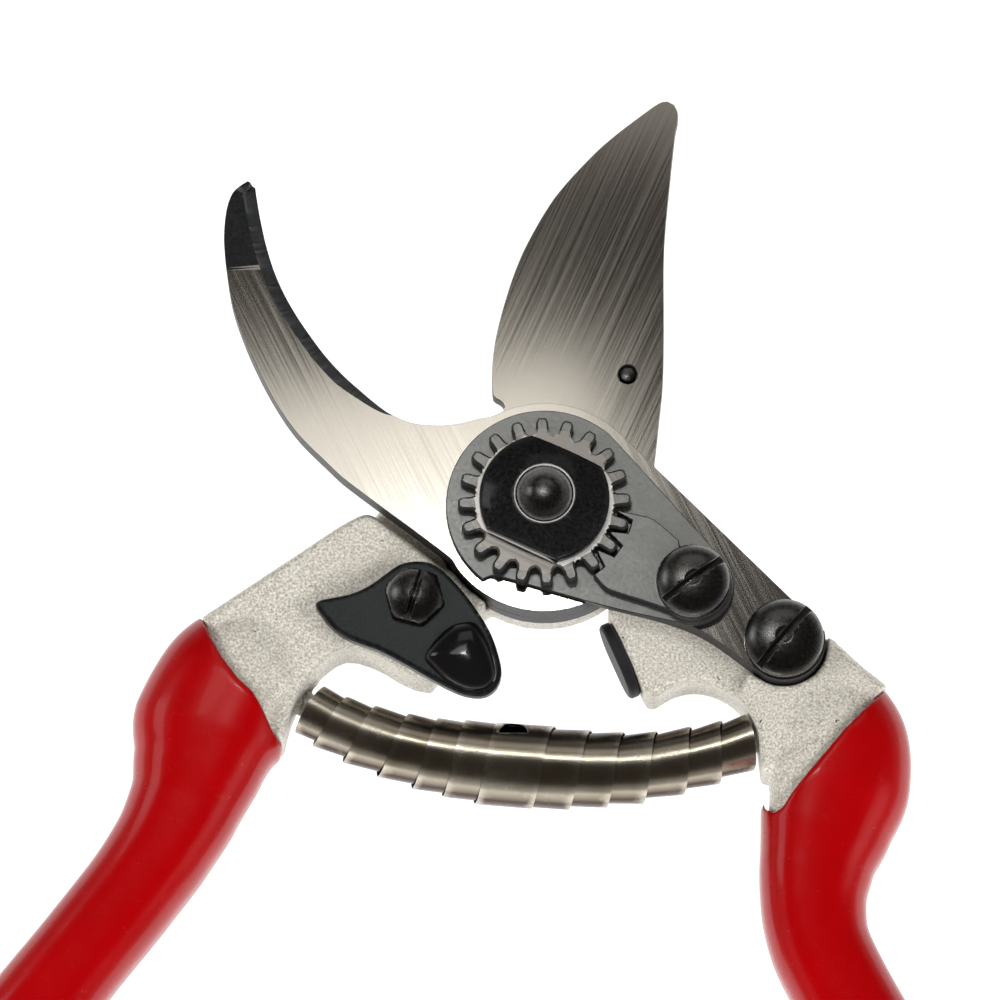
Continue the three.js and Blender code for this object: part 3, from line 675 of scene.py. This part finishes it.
def carve(obj, cutter, operation="DIFFERENCE"):
    """Cuts one object with another, and throws the cutter away."""
    modifier = obj.modifiers.new("cut", "BOOLEAN")
    modifier.object = cutter
    modifier.operation = operation
    modifier.solver = "EXACT"
    settle(obj)
    bpy.data.objects.remove(cutter)
    return obj


def paint(obj, materials, choose):
    """Gives an object its materials, and each face the one that choose picks for it."""
    for material in materials:
        obj.data.materials.append(material)
    for face in obj.data.polygons:
        face.material_index = choose(face)


# %% [markdown]
# ## The hook blade
# A thick forged blade, ground flat on its face and along its walls, with its back edge
# barely broken. The concave edge carries a dark chamfer that widens towards the tip, and
# the last stretch of the face is thinned and keeps its dark coat. The plate is lifted from
# its outline, its chamfer made by insetting the face, and its tip bisected and tilted.

# %% Hook blade
HOOK_LOW, HOOK_HIGH = heights("hook_blade")
EDGE_BREAK = 0.05
TAPER_START = 43        # where along Y the tip begins to thin
TAPER = math.tan(math.radians(7))
TAPER_SLANT = 0.23      # how far the start of the thin tip leans, for each step along X
LEVEL = 0.985           # upward share of a normal above which a face counts as flat
TIP_COAT = 12.4         # how far past the start of the thin tip the dark coat begins
UPPER_SIDE = 2.8        # points less far under the face than this belong to its side
BAND = 1.75             # width of the dark band along the concave edge
STEP_WALL = 0.55        # width of the low dark step between the face and that band
BAND_SINK = 0.75        # how deep the band lies under the face, at the step
BAND_DROP = 1.7         # how far it has fallen at the edge
BAND_FADES = (-26.6, 16.6)
BAND_ENDS = (-50.9, 59.2)
FADE_LENGTH = 11
hook_loops = [smooth_outline(l) for l in slice_loops("hook_blade", HOOK_LOW + 0.8)]
bm = flat_plate(hook_loops, HOOK_LOW, HOOK_HIGH, EDGE_BREAK)
cap = [f for f in bm.faces if f.normal.z > 0.99]
rings = []
for _ in range(2):
    bmesh.ops.inset_region(bm, faces=cap, thickness=EDGE_BREAK * MM, use_even_offset=True)
    rings.append({v for f in cap for v in f.verts})
bmesh.ops.delete(bm, geom=cap, context="FACES_ONLY")
outline = hook_loops[0]


def nearest(x, y):
    """Which point of the outline lies nearest to a place in millimetres."""
    spot = Vector((x, y)) * MM
    return min(range(len(outline)), key=lambda i: (outline[i] - spot).length_squared)


# The band runs along the concave edge only, from where it fades out up to the tip.
count = len(outline)
fade, tip = nearest(*BAND_FADES), nearest(*BAND_ENDS)
way = 1 if (tip - fade) % count < (fade - tip) % count else -1
share_at = [0.0] * count
travelled, index = 0.0, fade
while index != tip:
    after = (index + way) % count
    travelled += (outline[after] - outline[index]).length / MM
    share_at[after] = min(1, travelled / FADE_LENGTH) ** 0.6
    index = after


def inward(index):
    """The direction into the plate, from a stretch of outline on both sides of a point."""
    a, b = outline[index - 3], outline[(index + 3) % count]
    return Vector((a.y - b.y, b.x - a.x)).normalized()


for ring, reach, sink in ((rings[0], BAND, BAND_SINK), (rings[1], BAND + STEP_WALL, 0)):
    for vert in ring:
        index = nearest(*(vert.co.xy / MM))
        share = share_at[index]
        if share > 0:
            inner = outline[index] + inward(index) * reach * share * MM
            vert.co = Vector((inner.x, inner.y, (HOOK_HIGH - sink * share) * MM))
for vert in bm.verts:
    if vert not in rings[0] and vert not in rings[1] and vert.co.z > (HOOK_HIGH - 0.5) * MM:
        vert.co.z -= BAND_DROP * share_at[nearest(*(vert.co.xy / MM))] * MM
open_edges = [e for e in bm.edges if e.is_boundary]
bmesh.ops.triangle_fill(bm, edges=open_edges, use_beauty=True)
geometry = bm.verts[:] + bm.edges[:] + bm.faces[:]
bmesh.ops.bisect_plane(bm, geom=geometry, dist=1e-7, plane_co=(0, TAPER_START * MM, 0),
                       plane_no=(-TAPER_SLANT, 0.97, 0))
for vert in bm.verts:
    drop = (vert.co.y - TAPER_START * MM) * TAPER
    if drop > 0 and vert.co.z > (HOOK_HIGH - UPPER_SIDE) * MM:
        vert.co.z -= drop
face_outward(bm)
hook = as_object("hook blade", bm, math.radians(28))
for face in hook.data.polygons:
    face.use_smooth = abs(face.normal.z) <= LEVEL


def hook_finish(face):
    """0 for ground steel, 1 for the walls in painted shade, 2 for the dark coat of band and tip."""
    x, y, z = (c / MM for c in face.center)
    if abs(face.normal.z) > LEVEL:
        return 2 if y > TAPER_START + x * TAPER_SLANT + TIP_COAT and face.normal.z > 0 else 0
    return 2 if face.normal.z > 0.5 and z < HOOK_HIGH - 0.8 else 1


paint(hook, (hook_steel, painted_shade_wall, dark_coat), hook_finish)
stand_in(hook, "hook_side", None, "hook_blade")

# %% [markdown]
# ## The cutting blade
# Thinner than the hook and ground flat, so that it slides against the hook's face. It is a
# smoothed outline swept through the sheet's thickness, with the edge just broken. The pin
# near its heel is a separate turned piece.

# %% Cutting blade
BLADE_LOW, BLADE_HIGH = heights("cutting_blade")
BLADE_LEVEL = 9.5       # a height within the blade's thickness
blade_loops = [smooth_outline(l) for l in slice_loops("cutting_blade", BLADE_LEVEL)]
blade = as_object("cutting blade", flat_plate(blade_loops, BLADE_LOW, BLADE_HIGH, 0.1))
# The blade's side walls get the near-black wall colour, as painted shade.
paint(blade, (blade_steel, painted_shade_wall), lambda face: 1 if abs(face.normal.z) < 0.5 else 0)
stand_in(blade, "blade_side", None, "cutting_blade")
PIN_LOW = 2.6
pin = turned_piece([(0, PIN_LOW), (1.4, PIN_LOW), (1.4, BLADE_HIGH - 0.5),
                    (1.2, BLADE_HIGH - 0.2), (0.7, BLADE_HIGH - 0.08), (0, BLADE_HIGH - 0.05)],
                   centre_of("blade_pin"), 48)
stand_in(as_object("blade pin", pin), "blade_side", turned_black, "blade_pin")

# %% [markdown]
# ## Lock plate and toothed segment
# Both are punched from thin sheet and phosphated to a grainy grey. Punching rounds one edge
# slightly, and handling wears it bright.

# %% Lock plate, toothed segment
for node, level, rim in (("lock_plate", 0.6, 0.15), ("toothed_segment", 1.0, 0.22)):
    low, high = heights(node)
    loops = [smooth_outline(l, corner=math.radians(30)) for l in slice_loops(node, low + level)]
    plate = as_object(node.replace("_", " "), flat_plate(loops, low, high, rim))
    # The side walls get the near-black wall colour, as painted shade.
    paint(plate, (phosphate, painted_shade_wall), lambda face: 1 if abs(face.normal.z) < 0.9 else 0)
    stand_in(plate, "hook_side", None, node)

# %% [markdown]
# ## Pivot nut
# One turned and milled piece: a flange with coarse teeth that lock under the segment, and a
# round boss cut away to two flats for a wrench. The teeth are blackened, and the flats
# leave bare brushed ledges on the flange.

# %% Pivot nut
FLANGE_LOW, NUT_TOP = heights("pivot_nut")
FLANGE_HIGH = FLANGE_LOW + 3
WRENCH_TURN = -25       # degrees that the two flats are turned by
FLAT_REACH = 9          # from the axis to a flat
BOSS_RADIUS = 11.3
BORE_RADIUS = 5.05
BORE_EDGE = 5.3         # outer edge of the bare chamfer round the bore
flange_loops = slice_loops("pivot_nut", FLANGE_LOW + 1.5)
flange_loops = [smooth_outline(l, 0.3 * MM, math.radians(50)) for l in flange_loops]
bm = flat_plate(flange_loops[:1], FLANGE_LOW, FLANGE_HIGH, 0.35)
flange = as_object("pivot nut", bm)
boss = as_object("boss", turned_piece(
    [(0, FLANGE_HIGH - 0.6), (BOSS_RADIUS, FLANGE_HIGH - 0.6), (BOSS_RADIUS, NUT_TOP - 2.6),
     (11.1, NUT_TOP - 2.1), (10.6, NUT_TOP - 1.75), (9.4, NUT_TOP - 1.25), (8.0, NUT_TOP - 0.75),
     (6.8, NUT_TOP - 0.35), (6.0, NUT_TOP - 0.15), (5.5, NUT_TOP - 0.05),
     (BORE_EDGE, NUT_TOP - 0.05), (5.0, NUT_TOP - 0.2), (0, NUT_TOP - 0.2)], (0, 0), 128))
for side in (1, -1):
    flat = block((40, 10, 10), (0, side * (FLAT_REACH + 5), FLANGE_HIGH + 5), WRENCH_TURN)
    carve(boss, as_object("flat", flat))
carve(flange, boss, "UNION")
carve(flange, as_object("bore", peg(BORE_RADIUS, 60, 96)))
bm = bmesh.new()
bm.from_mesh(flange.data)
bpy.data.objects.remove(flange)
nut = as_object("pivot nut turned", bm, math.radians(30))


def nut_finish(face):
    """0 for the black boss, 1 ledges, 2 tooth tops, 3 bare rings, 4 walls, tooth chamfers and
    underside in painted shade.
    """
    x, y, z = (c / MM for c in face.center)
    away = math.hypot(x, y)
    turn = math.radians(-WRENCH_TURN)
    beside_flat = abs(y * math.cos(turn) + x * math.sin(turn)) > FLAT_REACH - 0.1
    if z >= FLANGE_HIGH + 0.05:
        return 3 if away < BORE_EDGE and face.normal.z > -0.1 else 0
    if face.normal.z > 0.3 and away < (13 if beside_flat else 12):
        return 1 if beside_flat else 3
    return 2 if face.normal.z > 0.95 else 4


paint(nut, (nut_black, ledge_steel, tooth_steel, bare_ring, painted_shade_wall), nut_finish)
stand_in(nut, "hook_side", None, "pivot_nut")

# %% [markdown]
# ## Bolt, screws and rear nuts
# Everything here is turned, so every piece starts as a profile spun about its axis, and
# the slots are cut afterwards.

# %% Pivot bolt, slotted screws, rear nuts
BOLT_TOP = heights("pivot_bolt")[1]
bolt = turned_piece([(0, 0), (8.9, 0), (9.4, 0.3), (9.5, 0.8), (9.5, 2.3), (9.3, 2.5), (4.9, 2.5),
                     (4.9, BOLT_TOP - 2.4), (4.7, BOLT_TOP - 2.0), (4.2, BOLT_TOP - 1.6),
                     (3.6, BOLT_TOP - 1.15), (2.9, BOLT_TOP - 0.6), (2.0, BOLT_TOP - 0.2),
                     (1.0, BOLT_TOP - 0.04), (0, BOLT_TOP)], (0, 0), 128)
stand_in(as_object("pivot bolt", bolt), "hook_side", turned_black, "pivot_bolt")


def slotted(node, radius, head, crown, slot_angle, slot_width):
    """A slotted screw. Its crown is [share of radius, share of head height] corners."""
    at = centre_of(node)
    low, high = heights(node)
    profile = [(0, low), (3, low), (3, high - head)]
    profile += [(radius * r, high - head + head * h) for r, h in crown]
    screw = as_object(node.replace("_", " "), turned_piece(profile, at))
    slot = block((4 * radius, slot_width, 4), (0, 0, high - 0.5 * head + 2), slot_angle)
    bmesh.ops.translate(slot, verts=slot.verts, vec=(at[0] * MM, at[1] * MM, 0))
    return carve(screw, as_object("slot", slot))


ROUND = [(1, 0), (1, 0.38), (0.99, 0.46), (0.95, 0.55), (0.88, 0.66), (0.78, 0.77), (0.64, 0.87),
         (0.46, 0.94), (0.25, 0.985), (0, 1)]
for node, radius, angle in (("segment_screw", 6.4, 36), ("hook_screw", 6.9, 50)):
    stand_in(slotted(node, radius, 3.6, ROUND, angle, 1.3), "hook_side",
             turned_black, node)
for node in ("segment_screw_nut", "hook_screw_nut"):
    low = heights(node)[0]
    profile = [(0, low), (4.2, low), (4.5, low + 0.12), (4.6, low + 0.4), (4.6, low + 1.2),
               (3.8, low + 1.2), (3.8, low + 5.7), (0, low + 5.7)]
    rear_nut = as_object(node.replace("_", " "), turned_piece(profile, centre_of(node), 64))
    stand_in(rear_nut, "hook_side", turned_black, node)

# %% [markdown]
# ## The two castings
# Both castings are tumbled after casting, which leaves every edge soft and the faces grainy.
# Remeshing the plain solid in small cubes and relaxing the result rounds edges and inner
# corners together, as tumbling does.

# %% Castings


def soften(obj, cube, passes):
    """Rebuilds an object from small cubes, in millimetres, and relaxes it a few times."""
    remesh = obj.modifiers.new("cubes", "REMESH")
    remesh.mode = "VOXEL"
    remesh.voxel_size = cube * MM
    relax = obj.modifiers.new("relax", "SMOOTH")
    relax.factor = 0.5
    relax.iterations = passes
    settle(obj)
    for face in obj.data.polygons:
        face.use_smooth = True
    return obj


for side, body in (("right", "hook_side"), ("left", "blade_side")):
    casting = as_object(f"{side} casting", frame_copy(f"{side}_handle"))
    stand_in(soften(casting, 0.45, 5), body, cast_aluminium, f"{side}_handle")

# %% [markdown]
# ## The red coats
# The handles are dipped in thick red plastic, which ends in a soft round lip where it was
# masked. The coat is a tube swept through the sections of the handle, less the same tube
# one wall smaller, less the bare part of the casting. A section is x, y, half its width and
# half its height.

# %% Coats
COAT_WALL = 1.3
GRIP_MIDDLE = 9.5       # height of the handles' middle plane
SQUARENESS = 2.6        # 2 makes a section an ellipse, and more makes it boxier
SMALLEST = 0.05         # what is left of a tube's half width where its wall fills it
LEFT_SECTIONS = [
    (-46, -22.2, 11.6, 6.6), (-50, -26, 12, 8), (-54.6, -30.6, 13, 8.9), (-58.5, -38.5, 13.4, 9),
    (-60.3, -45, 11.4, 8.8), (-62.4, -51.5, 9.9, 8.5), (-65.9, -58.6, 9.1, 8.4),
    (-71, -66.3, 8.7, 8.3), (-80.3, -78.4, 8.6, 8.2), (-90, -91, 8.9, 8.4), (-95, -98, 8.6, 8.2)]
RIGHT_SECTIONS = [
    (45, -33, 12, 6.6), (47.4, -36.4, 12.4, 7.6), (50.2, -41.6, 13.2, 8.8),
    (50.4, -48.5, 13.1, 9), (48.8, -55.6, 11.6, 8.8), (47.2, -62.5, 10, 8.5),
    (46.6, -69.2, 9.2, 8.4), (47.6, -76.2, 8.8, 8.3), (50.8, -83.4, 8.7, 8.2),
    (56.6, -94.4, 8.8, 8.2), (62.4, -106, 8.9, 8.3), (66, -116, 8.8, 8.4), (67.6, -121.6, 8.5, 8.2)]
LEFT_BARE = [(-64, -8), (-59.7, -18.6), (-58, -22.9), (-55.9, -27), (-53.1, -30.8),
             (-50.5, -33.2), (-48.7, -36.3), (-47.3, -39.4), (-46, -41.2), (-44.9, -40.7),
             (-43.4, -37.2), (-30, -40), (20, -40), (20, 40), (-64, 40)]
RIGHT_BARE = [(66, -20), (59.9, -30.4), (57.5, -33.8), (51.8, -40.1), (45.6, -47.6),
              (42.8, -51), (41.2, -53.6), (39.7, -54.3), (38.3, -53.2), (37.6, -50.2),
              (30, -54), (-10, -54), (-10, 30), (66, 30)]


def between(points, index, t):
    """A point on the smooth run through points, t of the way on from one of them."""
    p1, p2 = points[index], points[index + 1]
    p0 = points[index - 1] if index else p1 * 2 - p2
    p3 = points[index + 2] if index + 2 < len(points) else p2 * 2 - p1
    d0, d1, d2 = ((b - a).length ** 0.5 for a, b in ((p0, p1), (p1, p2), (p2, p3)))
    m1 = ((p1 - p0) / d0 - (p2 - p0) / (d0 + d1) + (p2 - p1) / d1) * d1
    m2 = ((p2 - p1) / d1 - (p3 - p1) / (d1 + d2) + (p3 - p2) / d2) * d1
    h = hermite(t)
    return p1 * h[0] + m1 * h[1] + p2 * h[2] + m2 * h[3]


def rounded(value):
    """Moves a share of a circle's radius out onto the boxier section."""
    return math.copysign(abs(value) ** (2 / SQUARENESS), value)


def handle_tube(name, sections, wall, rings=110, sides=72, cap=9):
    """A swept tube with round ends, one wall smaller than the sections."""
    places = [Vector(s[:2]) for s in sections]
    sizes = [Vector(s[2:]) for s in sections]
    run = []
    for i in range(rings + 1):
        travelled = i / rings * (len(sections) - 1)
        whole = min(int(travelled), len(sections) - 2)
        t = travelled - whole
        ahead = between(places, whole, min(t + 0.01, 1)) - between(places, whole, max(t - 0.01, 0))
        size = sizes[whole].lerp(sizes[whole + 1], t * t * (3 - 2 * t) * 0.35 + t * 0.65)
        run.append((between(places, whole, t), ahead.normalized(), size))
    stations = []
    for i, side in ((0, -1), (rings, 1)):
        at, ahead, size = run[i]
        depth = min(size) * 0.55 - wall
        ends = [(at + ahead * side * depth * math.sin(a), ahead, size, math.cos(a))
                for a in (math.pi / 2 * k / cap for k in range(1, cap))]
        stations = ends[::-1] + [(*r, 1) for r in run] if side < 0 else stations + ends
    bm = bmesh.new()
    rims = []
    for at, ahead, size, share in stations:
        ring = bmesh.ops.create_circle(bm, segments=sides, radius=1)["verts"]
        across = Vector((-ahead.y, ahead.x, 0))
        for vert in ring:
            wide = max(size.x * share - wall, SMALLEST)
            high = max(size.y * share - wall, SMALLEST) * rounded(vert.co.y)
            spot = across * rounded(vert.co.x) * wide
            vert.co = Vector((at.x, at.y, GRIP_MIDDLE + high)) + spot
        rims.append(list({e for v in ring for e in v.link_edges}))
    for a, b in zip(rims, rims[1:]):
        bmesh.ops.bridge_loops(bm, edges=a + b)
    bmesh.ops.holes_fill(bm, edges=[e for e in bm.edges if e.is_boundary])
    bmesh.ops.scale(bm, verts=bm.verts, vec=(MM, MM, MM))
    face_outward(bm)
    return as_object(name, bm)


for side, body, sections, bare in (("left", "blade_side", LEFT_SECTIONS, LEFT_BARE),
                                   ("right", "hook_side", RIGHT_SECTIONS, RIGHT_BARE)):
    grip = handle_tube(f"{side} coat", sections, 0)
    carve(grip, handle_tube("core", sections, COAT_WALL))
    mask = flat_plate([[Vector(p) * MM for p in bare]], -10, 40, 0.1)
    carve(grip, as_object("mask", mask))
    stand_in(soften(grip, 0.4, 10), body, red_coat, f"{side}_grip")

# %% [markdown]
# ## Thumb catch
# A punched steel lever with a satin blue-black coat, worn bright along its rim, and a
# glossy moulded pad. A hexagon screw with a domed, turned head holds it over a washer.

# %% Thumb catch, pad, washer, screw
lever = soften(as_object("thumb catch", frame_copy("thumb_catch")), 0.22, 4)
stand_in(lever, "catch", catch_coat, "thumb_catch")

PAD_ROUND = 2.3         # height of the pad's domed part
PAD_TOP = 0.03          # share of its outline that the dome closes to
pad_low, pad_high = heights("catch_pad")
pad_loop = smooth_outline(slice_loops("catch_pad", pad_low + 1.2)[0], corner=math.radians(70))
bm = flat_plate([pad_loop], pad_low, pad_high - PAD_ROUND, 0.02)
around_middle = Matrix.Translation(-(sum(pad_loop, Vector((0, 0))) / len(pad_loop)).to_3d())
top = [f for f in bm.faces if f.normal.z > 0.99]
steps = [math.pi / 2 * k / 10 for k in range(1, 11)]
for before, after in zip([0] + steps, steps):
    made = bmesh.ops.extrude_face_region(bm, geom=top)["geom"]
    bmesh.ops.delete(bm, geom=top, context="FACES_ONLY")
    top = [g for g in made if isinstance(g, bmesh.types.BMFace)]
    ring = [g for g in made if isinstance(g, bmesh.types.BMVert)]
    shrink = (PAD_TOP + math.cos(after)) / (PAD_TOP + math.cos(before))
    rise = PAD_ROUND * (math.sin(after) - math.sin(before))
    bmesh.ops.scale(bm, verts=ring, vec=(shrink, shrink, 1), space=around_middle)
    bmesh.ops.translate(bm, verts=ring, vec=(0, 0, rise * MM))
face_outward(bm)
pad = as_object("catch pad", bm, math.radians(60))
stand_in(pad, "catch", pad_gloss, "catch_pad")

washer_low, washer_high = heights("catch_spring_washer")
washer = turned_piece([(3.3, washer_low), (4.4, washer_low), (4.6, washer_low + 0.12),
                       (4.6, washer_high - 0.12), (4.4, washer_high), (3.3, washer_high),
                       (3.3, washer_low)], centre_of("catch_spring_washer"), 64)
stand_in(as_object("catch washer", washer), "blade_side", turned_black,
         "catch_spring_washer")

CROWN = [(1, 0), (1, 0.2), (0.97, 0.36), (0.91, 0.5), (0.83, 0.62), (0.72, 0.74), (0.58, 0.84),
         (0.40, 0.93), (0.2, 0.98), (0, 1)]
HEAD_RADIUS = 5.4
catch_screw = slotted("catch_screw", HEAD_RADIUS, 3.4, CROWN, 73, 1.1)
at = centre_of("catch_screw")
screw_top = heights("catch_screw")[1]
bm = peg(HEAD_RADIUS, 40, 6)
turn_about_z(bm, 15)
bmesh.ops.translate(bm, verts=bm.verts, vec=[c * MM for c in (*at, screw_top)])
carve(catch_screw, as_object("hexagon", bm), "INTERSECT")
stand_in(catch_screw, "blade_side", turned_black, "catch_screw")

# %% [markdown]
# ## Bumper
# A moulded rubber button on a stem, pressed into the nose, that takes the shock when the
# handles meet. Its head is an oval with a rounded rim.

# %% Bumper
bumper = as_object("bumper", frame_copy("bumper"))
soft = bumper.modifiers.new("rim", "BEVEL")
soft.width = 0.35 * MM
soft.segments = 3
soft.limit_method = "ANGLE"
soft.angle_limit = math.radians(30)
stand_in(settle(bumper), "hook_side", black_rubber, "bumper")

# %% [markdown]
# ## Volute spring
# One nickel plated strip wound into overlapping turns, widest in the middle and smaller towards
# both ends, so that each turn slides inside the next as the handles close. Each turn is a strip
# from `create_grid`, wound round the spring's line and thickened. The three middle turns share a
# half-round notch.

# %% Volute spring
# The third value is about the spring's radius there. Only the spacing of the curve uses it.
SPRING_LINE = [(-40.7, -34.1, 3.9), (-36.4, -36.8, 4.7), (-29.6, -39.7, 5.7), (-20, -42.4, 6.6),
               (-10, -44, 7.3), (-2, -44.7, 7.4), (7, -45.1, 7), (16, -44.8, 6.2),
               (26.2, -43, 5.3), (33.6, -40.8, 4.6), (37.2, -39.5, 4.2)]
LEFT_RIMS = [-9.9, -15.5, -20.4, -25.9, -32, -37.2, -41.6]
RIGHT_RIMS = [-0.1, 6.5, 12.5, 18.6, 25.1, 30.8, 36.4]
SIDE_TURNS = 6          # turns on each side of the widest one
WOUND = 1.04            # rounds that each strip goes, so that its ends overlap
STRIP_WIDTH = 9.8
STRIP = 0.40
WIDEST = 7.4
TURN_STEP = 0.5         # how much smaller each turn is than the last
FLARE = 0.9             # how much wider the rim of an end turn is than its root
NOTCH_X = -5.4
NOTCH_RADIUS = 2.5
line = [Vector(p) for p in SPRING_LINE]


def on_line(x):
    """The point and the direction of the spring's line where it passes x."""
    x = min(max(x, SPRING_LINE[0][0] + 0.01), SPRING_LINE[-1][0] - 0.01)
    i = max(k for k, p in enumerate(line[:-1]) if p.x <= x)
    t = (x - line[i].x) / (line[i + 1].x - line[i].x)
    here = between(line, i, t)
    ahead = between(line, i, min(t + 0.02, 1)) - between(line, i, max(t - 0.02, 0))
    return here, Vector((ahead.x, ahead.y, 0)).normalized()


def strip_middle(turn):
    """Where along x the strip's middle is after a number of turns from the widest one."""
    rims, side = (RIGHT_RIMS, 1) if turn >= 0 else (LEFT_RIMS, -1)
    reach = min(abs(turn), len(rims) - 1.001)
    low = int(reach)
    rim = rims[low] + (rims[low + 1] - rims[low]) * (reach - low)
    return rim - side * STRIP_WIDTH / 2


def wound_strip(turn):
    """One turn, a flat grid wound round the line. Its rim flares towards the spring's end."""
    bm = bmesh.new()
    bmesh.ops.create_grid(bm, x_segments=72, y_segments=8, size=0.5)
    for vert in bm.verts:
        rounds, across = vert.co.x * WOUND, vert.co.y
        phase = turn + rounds
        here, ahead = on_line(strip_middle(phase))
        radius = WIDEST - TURN_STEP * abs(phase) - STRIP / 2 + FLARE * across * phase / SIDE_TURNS
        sideways = Vector((-ahead.y, ahead.x, 0))
        angle = 2 * math.pi * rounds
        spot = Vector((here.x, here.y, GRIP_MIDDLE)) + ahead * STRIP_WIDTH * across
        spot += (sideways * math.sin(angle) + Vector((0, 0, math.cos(angle)))) * radius
        vert.co = spot * MM
    face_outward(bm)
    bmesh.ops.solidify(bm, geom=bm.faces[:], thickness=STRIP / 2 * MM)
    face_outward(bm)
    return bm


def notch():
    """Half a round peg, flat towards -Y, standing on the spring's upper side."""
    bm = peg(NOTCH_RADIUS, 12, 48)
    bmesh.ops.bisect_plane(bm, geom=bm.verts[:] + bm.edges[:] + bm.faces[:],
                           plane_co=(0, 0, 0), plane_no=(0, -1, 0), clear_outer=True)
    bmesh.ops.holes_fill(bm, edges=[e for e in bm.edges if e.is_boundary])
    face_outward(bm)
    here, _ = on_line(NOTCH_X)
    spot = Vector((here.x, here.y + 4.4, GRIP_MIDDLE + 8)) * MM
    bmesh.ops.translate(bm, verts=bm.verts, vec=spot)
    return as_object("notch", bm)


turns = range(-SIDE_TURNS, SIDE_TURNS + 1)
for number, turn in enumerate(turns, 1):
    band = as_object(f"spring turn {number}", wound_strip(turn), math.radians(50))
    stand_in(band, None, nickel, "volute_spring")
    if abs(turn) < 2:
        carve(band, notch())
    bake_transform(band)
print("spring:", len(turns), "turns")
